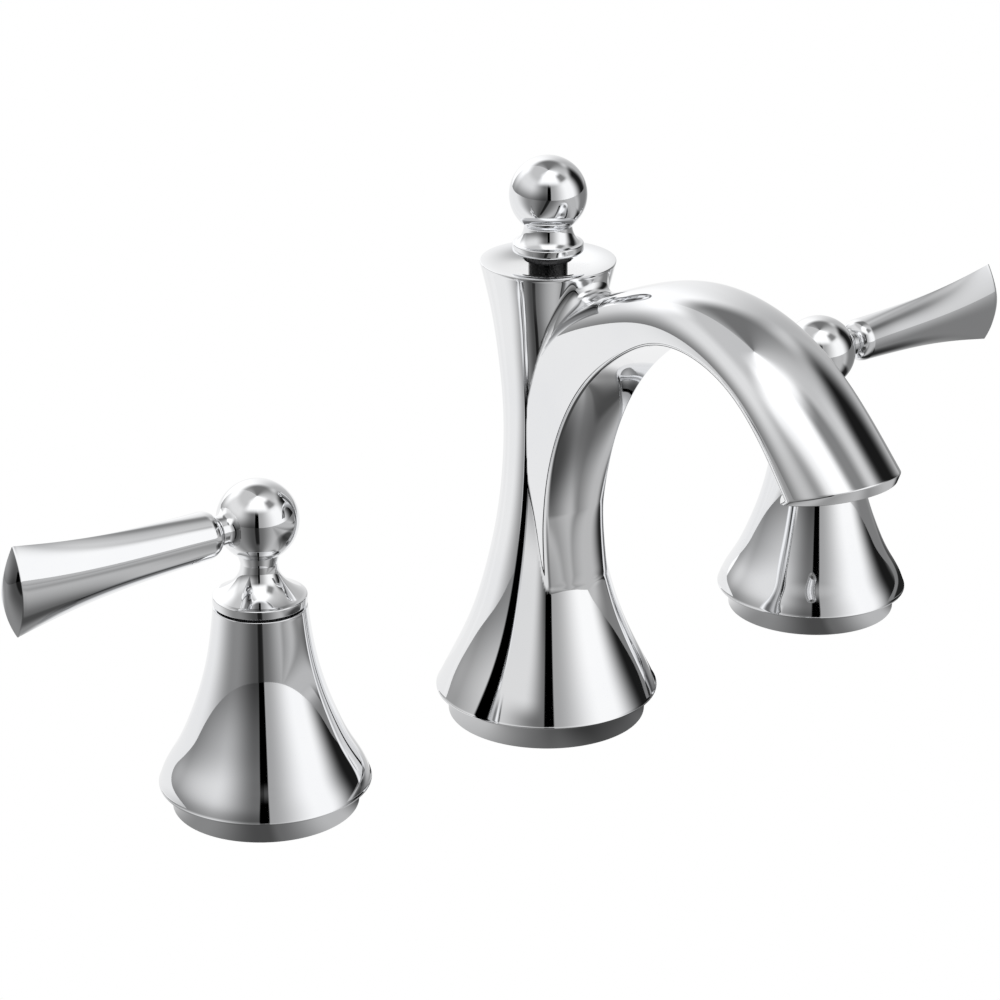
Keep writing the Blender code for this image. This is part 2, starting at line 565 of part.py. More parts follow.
def valve_body(name, where):
    """The end valve: a threaded shank through the deck, an inlet below and an outlet to the side."""
    inlet_bottom = VALVE_SHANK_BOTTOM - VALVE_INLET_LENGTH
    shank_top = HANDLE_SEAT + DECK_NUT_THICKNESS
    outline = [(0.0, VALVE_SHANK_BOTTOM), (VALVE_INLET_BORE, VALVE_SHANK_BOTTOM)]
    outline += [(VALVE_INLET_BORE, inlet_bottom), (VALVE_INLET_RADIUS, inlet_bottom)]
    outline += [(VALVE_INLET_RADIUS, VALVE_SHANK_BOTTOM)]
    outline += [(VALVE_SHANK_RADIUS, VALVE_SHANK_BOTTOM), (VALVE_SHANK_RADIUS, shank_top)]
    outline += [(VALVE_NECK_RADIUS, shank_top), (VALVE_NECK_RADIUS, VALVE_TOP_HEIGHT)]
    outline += [(VALVE_CHAMBER_RADIUS, VALVE_TOP_HEIGHT), (VALVE_CHAMBER_RADIUS, CHAMBER_FLOOR)]
    outline += [(0.0, CHAMBER_FLOOR)]
    body = turned(name, outline, FITTING_SIDES, "brass", **where)
    height = VALVE_SHANK_BOTTOM + OUTLET_RISE
    way_ends = (-PORT_OFFSET + PORT_RADIUS / 3.0, -VALVE_SHANK_RADIUS - CUT_OVERRUN)
    side_nipple(body, -VALVE_SHANK_RADIUS / 2.0, -NIPPLE_REACH, way_ends, height, where)
    top = CHAMBER_FLOOR + CUT_OVERRUN
    return_bottom = height - NIPPLE_WAY_RADIUS / 3.0
    feed_bottom = VALVE_SHANK_BOTTOM - CUT_OVERRUN
    for offset, bottom in ((-PORT_OFFSET, return_bottom), (PORT_OFFSET, feed_bottom)):
        way = upright("water_way_cutter", offset, PORT_RADIUS, bottom, top, None, where)
        combine(body, way, "DIFFERENCE")


def ported_disc(name, radius, bottom, thickness, offsets, finish, where):
    """A disc of the cartridge with its water ports cut through."""
    disc = turned(name, rod_outline(radius, bottom, bottom + thickness), FITTING_SIDES, finish, **where)
    low, high = bottom - CUT_OVERRUN, bottom + thickness + CUT_OVERRUN
    for offset in offsets:
        combine(disc, upright("port_cutter", offset, PORT_RADIUS, low, high, None, where), "DIFFERENCE")
    return disc


def cartridge_housing(name, where):
    """The cartridge's casing: a cup round the discs, a flange on the valve body and a snout above."""
    chamber = HOUSING_RADIUS - HOUSING_WALL
    stem_bore = STEM_RADIUS + RUNNING_CLEARANCE
    outline = [(chamber, FIXED_DISC_BOTTOM), (HOUSING_RADIUS, FIXED_DISC_BOTTOM)]
    outline += [(HOUSING_RADIUS, HOUSING_FLANGE_BOTTOM), (HOUSING_FLANGE_RADIUS, HOUSING_FLANGE_BOTTOM)]
    outline += [(HOUSING_FLANGE_RADIUS, HOUSING_FLANGE_TOP), (HOUSING_SNOUT_RADIUS, HOUSING_FLANGE_TOP)]
    outline += [(HOUSING_SNOUT_RADIUS, HOUSING_TOP_HEIGHT), (stem_bore, HOUSING_TOP_HEIGHT)]
    outline += [(stem_bore, HOUSING_SHOULDER), (chamber, HOUSING_SHOULDER)]
    turned(name, outline, FITTING_SIDES, "plastic", **where)


def bonnet_nut(name, where):
    """The nut that screws over the valve body's neck and holds the cartridge down."""
    bore = VALVE_NECK_RADIUS + CLEARANCE
    lip_bore = HOUSING_SNOUT_RADIUS + RUNNING_CLEARANCE
    lip_bottom = HOUSING_FLANGE_TOP + CLEARANCE
    top = lip_bottom + BONNET_NUT_LIP
    outline = [(bore, BONNET_NUT_BOTTOM), (bore, lip_bottom), (lip_bore, lip_bottom), (lip_bore, top)]
    nut(name, BONNET_NUT_WIDTH, outline, "brass", **where)


def cartridge_stem(name):
    foot_top = STEM_BOTTOM + STEM_FOOT_THICKNESS
    outline = [(0.0, STEM_BOTTOM), (DISC_RADIUS, STEM_BOTTOM), (DISC_RADIUS, foot_top)]
    outline += [(STEM_RADIUS, foot_top), (STEM_RADIUS, STEM_TOP_HEIGHT), (0.0, STEM_TOP_HEIGHT)]
    return turned(name, outline, INNER_SIDES, "brass")


def handle_adapter(name):
    """Sleeve on the stem, shoulder under the hub, and a pin up into the ball."""
    sleeve_bore = STEM_RADIUS + CLEARANCE
    sleeve_top = STEM_TOP_HEIGHT + CLEARANCE
    shoulder_radius = HUB_SOCKET_RADIUS - RUNNING_CLEARANCE
    outline = [(sleeve_bore, ADAPTER_SLEEVE_BOTTOM), (ADAPTER_SLEEVE_RADIUS, ADAPTER_SLEEVE_BOTTOM)]
    outline += [(ADAPTER_SLEEVE_RADIUS, ADAPTER_SHOULDER_BOTTOM)]
    outline += [(shoulder_radius, ADAPTER_SHOULDER_BOTTOM)]
    outline += [(shoulder_radius, ADAPTER_SHOULDER_TOP), (ADAPTER_PIN_RADIUS, ADAPTER_SHOULDER_TOP)]
    outline += [(ADAPTER_PIN_RADIUS, ADAPTER_PIN_TOP), (0.0, ADAPTER_PIN_TOP)]
    outline += [(0.0, sleeve_top), (sleeve_bore, sleeve_top)]
    return turned(name, outline, INNER_SIDES, "brass")


def handle_hub(name):
    """Rim, cone, neck and ball in one casting, with the stub that carries the lever."""
    bore = ADAPTER_PIN_RADIUS + CLEARANCE
    rim_top = HUB_BOTTOM + HUB_RIM_BAND
    bore_top = ADAPTER_PIN_TOP + CLEARANCE
    cone_radius = HUB_RIM_RADIUS - HUB_RIM_ROUND
    outline = [(0.0, bore_top), (bore, bore_top), (bore, HUB_SOCKET_TOP)]
    outline += [(HUB_SOCKET_RADIUS, HUB_SOCKET_TOP), (HUB_SOCKET_RADIUS, HUB_BOTTOM)]
    outline += [(cone_radius, HUB_BOTTOM), (HUB_RIM_RADIUS, HUB_BOTTOM + HUB_RIM_ROUND)]
    outline += [(HUB_RIM_RADIUS, rim_top - HUB_RIM_ROUND)]
    cone = flare(HUB_NECK_RADIUS, HUB_NECK_HEIGHT, cone_radius, rim_top, HUB_CONE_SHARE, 5)
    outline += cone[::-1] + ball_arc(BALL_RADIUS, BALL_HEIGHT, HUB_COLLAR_RADIUS, BALL_STEPS)
    hub = turned(name, outline, MIDDLE_SIDES, "chrome")
    root_reach = ball_rise(BALL_RADIUS, STUB_ROOT_RADIUS)
    inside = BALL_RADIUS / 2.0
    stub = [(0.0, inside), (STUB_ROOT_RADIUS, inside)]
    stub_neck = (STUB_NECK_RADIUS, STUB_NECK_REACH)
    stub += flare(*stub_neck, STUB_ROOT_RADIUS, root_reach, STUB_CONE_SHARE, 3)[::-1]
    stub += [(STUB_NECK_RADIUS, STUB_REACH), (SPIGOT_RADIUS, STUB_REACH)]
    stub += [(SPIGOT_RADIUS, STUB_REACH + SPIGOT_LENGTH), (0.0, STUB_REACH + SPIGOT_LENGTH)]
    stub_rings = lying(turned_rings(stub, FITTING_SIDES), BALL_HEIGHT)
    combine(hub, solid("stub_guide", stub_rings, True), "UNION")
    screw_way = rod_outline(HUB_SCREW_RADIUS + CLEARANCE, 0.0, STUB_REACH + SPIGOT_LENGTH + CUT_OVERRUN)
    way_rings = lying(turned_rings(screw_way, INNER_SIDES), BALL_HEIGHT)
    combine(hub, solid("hub_screw_cutter", way_rings, True), "DIFFERENCE")
    return hub


def hub_screw(name):
    start = ADAPTER_PIN_RADIUS + CLEARANCE
    rings = turned_rings(rod_outline(HUB_SCREW_RADIUS, start, start + HUB_SCREW_LENGTH), INNER_SIDES)
    return solid(name, lying(rings, BALL_HEIGHT), True, "stainless")


def lever_section(reach, half_height, half_thickness, lens):
    """An upright oval that turns into a lens: across it, thickness falls as a power of the cosine."""
    angles = np.arange(MIDDLE_SIDES) * 2.0 * math.pi / MIDDLE_SIDES
    across = np.sign(np.cos(angles)) * np.abs(np.cos(angles)) ** lens * half_thickness
    heights = BALL_HEIGHT + half_height * np.sin(angles)
    return np.stack([np.full(MIDDLE_SIDES, reach), across, heights], axis=1)


def lever(name):
    """The lever: a round nose over the stub, then a blade that grows tall and thin to a domed tip."""
    nose = STUB_REACH + CLEARANCE
    nose_growth = LEVER_ROOT_RADIUS - LEVER_NOSE_RADIUS
    rings = []
    for share in LEVER_NOSE_SHARES:
        radius = LEVER_NOSE_RADIUS + nose_growth * math.sin(share * math.pi / 2.0)
        rings.append(lever_section(nose + (LEVER_ROOT_REACH - nose) * share, radius, radius, 1.0))
    for share in np.linspace(0.0, 1.0, LEVER_STATIONS):
        reach = LEVER_ROOT_REACH + (LEVER_TIP_REACH - LEVER_ROOT_REACH) * share
        grown = share ** LEVER_FLARE_SHARE
        half_height = LEVER_ROOT_RADIUS + (LEVER_TIP_HALF_HEIGHT - LEVER_ROOT_RADIUS) * grown
        half_thickness = LEVER_ROOT_RADIUS + (LEVER_TIP_HALF_THICKNESS - LEVER_ROOT_RADIUS) * share
        lens = 1.0 + (LEVER_LENS_SHARE - 1.0) * share
        rings.append(lever_section(reach, half_height, half_thickness, lens))
    for angle in (math.pi / 6.0, math.pi / 3.0):
        reach = LEVER_TIP_REACH + LEVER_DOME * math.sin(angle)
        half_height = LEVER_TIP_HALF_HEIGHT * math.cos(angle)
        half_thickness = LEVER_TIP_HALF_THICKNESS * math.cos(angle)
        rings.append(lever_section(reach, half_height, half_thickness, LEVER_LENS_SHARE))
    rings.append(np.array([(LEVER_TIP_REACH + LEVER_DOME, 0.0, BALL_HEIGHT)]))
    blade = solid(name, rings, False, "chrome")
    socket_end = STUB_REACH + SPIGOT_LENGTH + CLEARANCE
    socket = rod_outline(SPIGOT_RADIUS + CLEARANCE, nose - CUT_OVERRUN, socket_end)
    socket_rings = lying(turned_rings(socket, FITTING_SIDES), BALL_HEIGHT)
    combine(blade, solid("socket_cutter", socket_rings, True), "DIFFERENCE")
    low = BALL_HEIGHT - LEVER_ROOT_RADIUS - CUT_OVERRUN
    hole_radius = LEVER_SCREW_RADIUS + CLEARANCE
    hole = upright("screw_hole_cutter", LEVER_SCREW_REACH, hole_radius, low, BALL_HEIGHT, None, {})
    combine(blade, hole, "DIFFERENCE")
    return blade


def lever_screw(name):
    top = BALL_HEIGHT - SPIGOT_RADIUS - CLEARANCE
    bottom = top - LEVER_SCREW_LENGTH
    return upright(name, LEVER_SCREW_REACH, LEVER_SCREW_RADIUS, bottom, top, "stainless", {})


def handle_set(side_name, side):
    """One handle: the fixed valve and bell, and the pieces that turn with the lever."""
    middle = ROW_OFFSET + side * HANDLE_SPACING / 2.0
    turn = 0.0 if side > 0 else math.pi
    where = {"place": (middle, HANDLE_SETBACK, 0.0), "turn": turn}
    handle = side_name + "_handle"
    shank_bore = VALVE_SHANK_RADIUS + RUNNING_CLEARANCE
    base_ring(handle, HANDLE_RING_RADIUS, HANDLE_RING_HEIGHT, shank_bore, where)
    under_deck(handle, VALVE_SHANK_RADIUS + CLEARANCE, WASHER_RADIUS, MOUNTING_NUT_WIDTH, where)
    nut_bore = VALVE_SHANK_RADIUS + CLEARANCE
    deck_nut_outline = [(nut_bore, HANDLE_SEAT), (nut_bore, HANDLE_SEAT + DECK_NUT_THICKNESS)]
    nut(handle + "_deck_nut", DECK_NUT_WIDTH, deck_nut_outline, "brass", **where)
    valve_body(side_name + "_valve_body", where)
    escutcheon(side_name + "_bell_escutcheon", where)
    ports = (-PORT_OFFSET, PORT_OFFSET)
    seal = (VALVE_CHAMBER_RADIUS - RUNNING_CLEARANCE, SEAL_BOTTOM, SEAL_THICKNESS)
    ported_disc(side_name + "_cartridge_seal", *seal, ports, "rubber", where)
    fixed_disc = (DISC_RADIUS, FIXED_DISC_BOTTOM, DISC_THICKNESS)
    ported_disc(side_name + "_fixed_ceramic_disc", *fixed_disc, ports, "ceramic", where)
    cartridge_housing(side_name + "_cartridge_housing", where)
    bonnet_nut(side_name + "_bonnet_nut", where)
    glide_bore = GLIDE_RING_RADIUS - GLIDE_RING_WIDTH
    glide = tube_outline(GLIDE_RING_RADIUS, glide_bore, GLIDE_RING_BOTTOM, GLIDE_RING_TOP)
    turned(side_name + "_glide_ring", glide, OUTER_SIDES, "plastic", **where)
    axle = bpy.data.objects.new(side_name + "_handle_axis", None)
    axle.location = where["place"]
    axle.rotation_euler = (0.0, 0.0, turn)
    bpy.context.scene.collection.objects.link(axle)
    moving_disc = (DISC_RADIUS, MOVING_DISC_BOTTOM, DISC_THICKNESS)
    moving = [
        ported_disc(side_name + "_moving_ceramic_disc", *moving_disc, ports[:1], "ceramic", {}),
        cartridge_stem(side_name + "_cartridge_stem"),
        handle_adapter(side_name + "_handle_adapter"),
        handle_hub(side_name + "_handle_hub"),
        hub_screw(side_name + "_hub_screw"),
        lever(side_name + "_lever"),
        lever_screw(side_name + "_lever_screw"),
    ]
    for piece in moving:
        piece.parent = axle
        for step in piece.modifiers:
            step.object.parent = axle


def column_outline():
    """The column as a full solid: lip, lower flare, waist, upper flare and flange."""
    lip_top = SPOUT_SEAT + COLUMN_EDGE
    flange_bottom = COLUMN_TOP_HEIGHT - COLUMN_FLANGE_EDGE
    waist = (COLUMN_WAIST_RADIUS, COLUMN_WAIST_HEIGHT)
    lower = flare(*waist, COLUMN_LIP_RADIUS, lip_top, LOWER_FLARE_SHARE, COLUMN_STEPS)
    upper = flare(*waist, COLUMN_FLANGE_RADIUS, flange_bottom, UPPER_FLARE_SHARE, COLUMN_STEPS // 2)
    outline = [(0.0, SPOUT_SEAT), (COLUMN_LIP_RADIUS, SPOUT_SEAT)] + lower[::-1] + upper[1:]
    return outline + [(COLUMN_FLANGE_RADIUS, COLUMN_TOP_HEIGHT), (0.0, COLUMN_TOP_HEIGHT)]


def column_radius(height):
    way = (COLUMN_WAIST_HEIGHT - height) / (COLUMN_WAIST_HEIGHT - SPOUT_SEAT - COLUMN_EDGE)
    return COLUMN_WAIST_RADIUS + (COLUMN_LIP_RADIUS - COLUMN_WAIST_RADIUS) * way ** LOWER_FLARE_SHARE


def arch_frame(shares):
    """Underside line of the arch and the way to its crown, in the plane (forward, up)."""
    rise = ARCH_PEAK_HEIGHT - ARCH_FOOT_HEIGHT
    forward = ARCH_LEG_FRONT + (ARCH_OUTLET_FRONT - ARCH_LEG_FRONT) * np.array(ARCH_FORWARD_SHARES)
    up = np.append(ARCH_FOOT_HEIGHT + rise * np.array(ARCH_RISE_SHARES), ARCH_OUTLET_HEIGHT)
    travel = np.append(0.0, np.cumsum(np.hypot(np.diff(forward), np.diff(up))))
    knots = travel / travel[-1]
    line_forward, slope_forward = spline(knots, forward, shares)
    line_up, slope_up = spline(knots, up, shares)
    crown = np.stack([-slope_up, slope_forward], axis=1)
    crown /= np.linalg.norm(crown, axis=1)[:, None]
    turned_share = eased(ARCH_TURN_START_SHARE, shares)[:, None]
    crown = (1.0 - turned_share) * crown + turned_share * np.array((1.0, ARCH_OUTLET_SLOPE_SHARE))
    crown /= np.linalg.norm(crown, axis=1)[:, None]
    return np.stack([line_forward, line_up], axis=1), crown


def arch_ring(corner, crown, half_width, depth, squareness, bulge):
    """One section of the arch: a squarish crown over an underside that swells between crisp edges."""
    over = np.linspace(0.0, math.pi, 15)
    under = np.linspace(math.pi, 2.0 * math.pi, 8)[1:-1]
    power = 2.0 / squareness
    side = np.append(np.sign(np.cos(over)) * np.abs(np.cos(over)) ** power, np.cos(under)) * half_width
    out = np.append(np.abs(np.sin(over)) ** power * depth, -np.sin(under) ** 2 * bulge)
    place = corner + out[:, None] * crown
    return np.stack([side, -place[:, 0], place[:, 1]], axis=1)


def arch_sections(shares):
    """Rings of the arch from foot to outlet, then the lip below its bevel."""
    line, crown = arch_frame(shares)
    spread = ARCH_OUTLET_HALF_WIDTH - ARCH_FOOT_HALF_WIDTH
    half_width = ARCH_FOOT_HALF_WIDTH + spread * even_spline(ARCH_WIDTH_SHARES, shares)
    depth = ARCH_OUTLET_DEPTH * even_spline(ARCH_DEPTH_SHARES, shares)
    squareness = even_spline(ARCH_SQUARENESS_SHARES, shares)
    bulge = ARCH_OUTLET_BULGE * even_spline(ARCH_BULGE_SHARES, shares)
    sizes = list(zip(half_width, depth, squareness, bulge))
    rings = [arch_ring(line[index], crown[index], *sizes[index]) for index in range(len(shares))]
    lip_corner = line[-1] - np.array((ARCH_LIP_SETBACK, ARCH_LIP_DROP))
    lip_crown = np.array((1.0, ARCH_LIP_SLOPE_SHARE)) / math.hypot(1.0, ARCH_LIP_SLOPE_SHARE)
    return rings + [arch_ring(lip_corner, lip_crown, *sizes[-1])]


def waterway_rings():
    """The water's passage: out of the column's bore, then along the middle of the arch."""
    shares = np.linspace(WATERWAY_START_SHARE, 1.0, 9)[:-1]
    line, crown = arch_frame(shares)
    depth = ARCH_OUTLET_DEPTH * even_spline(ARCH_DEPTH_SHARES, shares)
    middle = line + crown * depth[:, None] / 2.0
    start = np.array([(WATERWAY_INSET, COLUMN_BORE_TOP - WATERWAY_RADIUS - WATERWAY_INSET)])
    end = np.array([(AERATOR_FORWARD, AERATOR_SEAT - CUT_OVERRUN)])
    path = np.concatenate([start, middle, end])
    headings = np.gradient(path, axis=0)
    headings /= np.linalg.norm(headings, axis=1)[:, None]
    headings[-1] = (0.0, -1.0)
    angles = round_angles(INNER_SIDES)
    rings = []
    for point, heading in zip(path, headings):
        forward = point[0] - WATERWAY_RADIUS * np.sin(angles) * heading[1]
        up = point[1] + WATERWAY_RADIUS * np.sin(angles) * heading[0]
        rings.append(np.stack([WATERWAY_RADIUS * np.cos(angles), -forward, up], axis=1))
    return rings


def spout_body():
    """Column and arch as one casting, hollowed for the shank, the rod's sleeve and the water."""
    body = turned("spout_body", column_outline(), OUTER_SIDES, "chrome")
    arch = solid("arch_guide", arch_sections(np.linspace(0.0, 1.0, ARCH_STATIONS + 1)), False)
    combine(body, arch, "UNION")
    thread = SHANK_RADIUS + CLEARANCE
    thread_top = SPOUT_SEAT + BOSS_THREAD_DEPTH
    sleeve_bore = SLEEVE_RADIUS + CLEARANCE
    bushing_bore = BUSHING_RADIUS + CLEARANCE
    bore = [(0.0, SPOUT_SEAT - CUT_OVERRUN), (thread, SPOUT_SEAT - CUT_OVERRUN), (thread, thread_top)]
    bore += [(COLUMN_BORE_RADIUS, thread_top), (COLUMN_BORE_RADIUS, COLUMN_BORE_TOP)]
    bore += [(sleeve_bore, COLUMN_BORE_TOP), (sleeve_bore, BUSHING_SEAT_HEIGHT)]
    bore += [(bushing_bore, BUSHING_SEAT_HEIGHT)]
    bore += [(bushing_bore, COLUMN_TOP_HEIGHT + CUT_OVERRUN), (0.0, COLUMN_TOP_HEIGHT + CUT_OVERRUN)]
    combine(body, turned("bore_cutter", bore, FITTING_SIDES), "DIFFERENCE")
    foot_inside = SPOUT_RING_RADIUS - RING_WALL
    pocket = [(BOSS_RADIUS, SPOUT_SEAT - CUT_OVERRUN), (foot_inside, SPOUT_SEAT - CUT_OVERRUN)]
    for height in np.linspace(SPOUT_SEAT + COLUMN_WALL, BASE_POCKET_HEIGHT - COLUMN_WALL, 3):
        pocket.append((min(column_radius(height) - COLUMN_WALL, foot_inside), height))
    pocket.append((BOSS_RADIUS, BASE_POCKET_HEIGHT))
    combine(body, turned("pocket_cutter", pocket, FITTING_SIDES), "DIFFERENCE")
    combine(body, solid("waterway_cutter", waterway_rings(), False), "DIFFERENCE")
    bore_bottom = LIP_HEIGHT - ARCH_OUTLET_BULGE * ARCH_LIP_SLOPE_SHARE - CUT_OVERRUN
    aerator_bore = rod_outline(AERATOR_RADIUS + CLEARANCE, bore_bottom, AERATOR_SEAT)
    outlet = {"place": (0.0, -AERATOR_FORWARD, 0.0)}
    combine(body, turned("aerator_cutter", aerator_bore, FITTING_SIDES, **outlet), "DIFFERENCE")


def aerator():
    """The insert in the outlet: a threaded housing, a screen on its ledge and a gasket above."""
    where = {"place": (0.0, -AERATOR_FORWARD, 0.0)}
    ledge_top = AERATOR_BOTTOM + AERATOR_LEDGE_HEIGHT
    ledge_bore = AERATOR_GASKET_BORE
    outline = [(ledge_bore, AERATOR_BOTTOM), (AERATOR_RADIUS, AERATOR_BOTTOM)]
    outline += [(AERATOR_RADIUS, AERATOR_TOP), (AERATOR_BORE, AERATOR_TOP)]
    outline += [(AERATOR_BORE, ledge_top), (ledge_bore, ledge_top)]
    turned("aerator_housing", outline, FITTING_SIDES, "white_plastic", **where)
    screen_bottom = ledge_top + CLEARANCE
    screen = rod_outline(AERATOR_BORE - CLEARANCE, screen_bottom, screen_bottom + SCREEN_THICKNESS)
    turned("aerator_screen", screen, FITTING_SIDES, "stainless", **where)
    gasket_top = AERATOR_GASKET_BOTTOM + AERATOR_GASKET_THICKNESS
    gasket = tube_outline(AERATOR_RADIUS, AERATOR_GASKET_BORE, AERATOR_GASKET_BOTTOM, gasket_top)
    turned("aerator_gasket", gasket, FITTING_SIDES, "rubber", **where)


def mixing_tee():
    """Takes hot and cold water at its side nipples and feeds the shank above it."""
    chamber = SHANK_RADIUS - SHANK_WALL
    socket = SHANK_RADIUS + CLEARANCE
    sleeve_bore = SLEEVE_RADIUS + CLEARANCE
    outline = [(sleeve_bore, TEE_BOTTOM), (TEE_RADIUS, TEE_BOTTOM), (TEE_RADIUS, TEE_TOP)]
    outline += [(socket, TEE_TOP), (socket, TEE_CHAMBER_TOP)]
    outline += [(chamber, TEE_CHAMBER_TOP), (chamber, TEE_CHAMBER_BOTTOM)]
    outline += [(sleeve_bore, TEE_CHAMBER_BOTTOM)]
    tee = turned("mixing_tee", outline, FITTING_SIDES, "brass")
    height = (TEE_CHAMBER_TOP + TEE_CHAMBER_BOTTOM) / 2.0
    wall_middle = (chamber + TEE_RADIUS) / 2.0
    for side in (-1.0, 1.0):
        way_ends = (side * (chamber - CUT_OVERRUN), side * (TEE_RADIUS + CUT_OVERRUN))
        side_nipple(tee, side * wall_middle, side * TEE_NIPPLE_REACH, way_ends, height, {})


def spout_fastenings():
    """Shank, washer and nut below the spout, and the tee on the shank's end."""
    shank_top = SPOUT_SEAT + BOSS_THREAD_DEPTH - CLEARANCE
    shank = tube_outline(SHANK_RADIUS, SHANK_RADIUS - SHANK_WALL, SHANK_BOTTOM, shank_top)
    turned("spout_shank", shank, FITTING_SIDES, "brass")
    base_ring("spout", SPOUT_RING_RADIUS, SPOUT_RING_HEIGHT, SHANK_RADIUS + RUNNING_CLEARANCE, {})
    under_deck("spout", SHANK_RADIUS + CLEARANCE, SPOUT_WASHER_RADIUS, SPOUT_NUT_WIDTH, {})
    mixing_tee()


def lift_rod():
    """The rod that works the drain, its knob, and the sleeve and bushing that it slides in."""
    sleeve_top = BUSHING_SEAT_HEIGHT - CLEARANCE
    sleeve = tube_outline(SLEEVE_RADIUS, SLEEVE_RADIUS - SLEEVE_WALL, SLEEVE_BOTTOM, sleeve_top)
    turned("rod_sleeve", sleeve, INNER_SIDES, "brass")
    ring_top = COLUMN_BORE_TOP - CLEARANCE
    ring_bore = SLEEVE_RADIUS + CLEARANCE
    ring = tube_outline(ring_bore + SLEEVE_RING_WIDTH, ring_bore, ring_top - SLEEVE_RING_WIDTH, ring_top)
    turned("rod_sleeve_o_ring", ring, FITTING_SIDES, "rubber")
    rod_bore = ROD_RADIUS + CLEARANCE
    flange_bottom = COLUMN_TOP_HEIGHT + CLEARANCE
    flange_top = flange_bottom + BUSHING_FLANGE_THICKNESS
    bushing_bottom = BUSHING_SEAT_HEIGHT + CLEARANCE
    bushing = [(rod_bore, bushing_bottom), (BUSHING_RADIUS, bushing_bottom)]
    bushing += [(BUSHING_RADIUS, flange_bottom), (BUSHING_FLANGE_RADIUS, flange_bottom)]
    bushing += [(BUSHING_FLANGE_RADIUS, flange_top), (rod_bore, flange_top)]
    turned("rod_bushing", bushing, FITTING_SIDES, "plastic")
    socket_top = KNOB_BOTTOM + KNOB_SOCKET_DEPTH
    rod_top = socket_top - CLEARANCE
    origin = {"place": (0.0, 0.0, KNOB_BOTTOM)}
    rod = rod_outline(ROD_RADIUS, ROD_BOTTOM - KNOB_BOTTOM, rod_top - KNOB_BOTTOM)
    turned("lift_rod", rod, INNER_SIDES, "chrome", **origin)
    band_top = KNOB_BOTTOM + KNOB_COLLAR_BAND
    collar = KNOB_COLLAR_RADIUS - KNOB_COLLAR_ROUND
    outline = [(0.0, socket_top), (rod_bore, socket_top), (rod_bore, KNOB_BOTTOM), (collar, KNOB_BOTTOM)]
    for height in (KNOB_BOTTOM + KNOB_COLLAR_ROUND, band_top - KNOB_COLLAR_ROUND):
        outline.append((KNOB_COLLAR_RADIUS, height))
    outline += flare(KNOB_NECK_RADIUS, KNOB_NECK_HEIGHT, collar, band_top, KNOB_CONE_SHARE, 4)[::-1]
    outline += ball_arc(KNOB_BALL_RADIUS, KNOB_BALL_HEIGHT, KNOB_NECK_RADIUS, BALL_STEPS)
    knob = [(radius, height - KNOB_BOTTOM) for radius, height in outline]
    turned("lift_knob", knob, MIDDLE_SIDES, "chrome", **origin)


def clear_scene():
    for thing in list(bpy.data.objects):
        bpy.data.objects.remove(thing)


clear_scene()
spout_body()
aerator()
spout_fastenings()
lift_rod()
for side_name, side in (("left", -1.0), ("right", 1.0)):
    handle_set(side_name, side)
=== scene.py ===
import json
import math
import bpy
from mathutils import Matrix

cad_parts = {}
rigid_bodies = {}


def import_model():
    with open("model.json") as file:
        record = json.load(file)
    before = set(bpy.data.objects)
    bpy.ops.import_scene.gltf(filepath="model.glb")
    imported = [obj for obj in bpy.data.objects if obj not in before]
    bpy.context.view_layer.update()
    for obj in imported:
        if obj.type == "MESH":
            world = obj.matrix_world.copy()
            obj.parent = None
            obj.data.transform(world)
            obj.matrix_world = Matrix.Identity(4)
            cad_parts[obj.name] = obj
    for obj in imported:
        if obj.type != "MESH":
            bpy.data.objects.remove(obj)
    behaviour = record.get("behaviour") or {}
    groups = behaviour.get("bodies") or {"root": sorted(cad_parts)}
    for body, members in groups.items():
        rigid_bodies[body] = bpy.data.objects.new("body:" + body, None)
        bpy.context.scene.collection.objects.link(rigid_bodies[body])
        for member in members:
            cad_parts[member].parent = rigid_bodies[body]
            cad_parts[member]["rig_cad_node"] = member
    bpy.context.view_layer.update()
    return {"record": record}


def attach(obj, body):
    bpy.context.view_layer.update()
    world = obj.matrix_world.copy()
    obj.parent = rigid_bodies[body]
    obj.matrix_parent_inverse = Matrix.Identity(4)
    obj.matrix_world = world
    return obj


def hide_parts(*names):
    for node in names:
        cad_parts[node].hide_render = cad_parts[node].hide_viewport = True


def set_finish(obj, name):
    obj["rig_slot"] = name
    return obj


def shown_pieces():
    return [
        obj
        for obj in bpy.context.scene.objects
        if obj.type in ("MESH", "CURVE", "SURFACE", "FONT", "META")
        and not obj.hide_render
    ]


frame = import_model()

from types import SimpleNamespace

import bmesh
import bpy
import numpy as np
from mathutils import Matrix, Vector

mm = 0.001  # every size below is in millimetres

# Mesh making: all surfaces are grids of points, worked out as whole arrays


def named(values):
    # a dictionary's values, to be read as names
    return SimpleNamespace(**values)


def spline(knots, values, where):
    # natural cubic curve through the values at the knots, and its slope
    knots, values, where = (np.asarray(item, float) for item in (knots, values, where))
    gaps = np.diff(knots)
    count = len(knots)
    system, right = np.eye(count), np.zeros(count)
    for row in range(1, count - 1):
        system[row, row - 1:row + 2] = gaps[row - 1], 2 * (gaps[row - 1] + gaps[row]), gaps[row]
        rises = np.diff(values)[row - 1:row + 1] / gaps[row - 1:row + 1]
        right[row] = 6 * (rises[1] - rises[0])
    bends = np.linalg.solve(system, right)
    cell = np.clip(np.searchsorted(knots, where, side="right") - 1, 0, count - 2)
    gap, past, left = gaps[cell], where - knots[cell], knots[cell + 1] - where
    lowBend, highBend = bends[cell], bends[cell + 1]
    start = values[cell] / gap - lowBend * gap / 6
    end = values[cell + 1] / gap - highBend * gap / 6
    heights = (lowBend * left ** 3 + highBend * past ** 3) / (6 * gap) + start * left + end * past
    slopes = (highBend * past ** 2 - lowBend * left ** 2) / (2 * gap) - start + end
    return heights, slopes


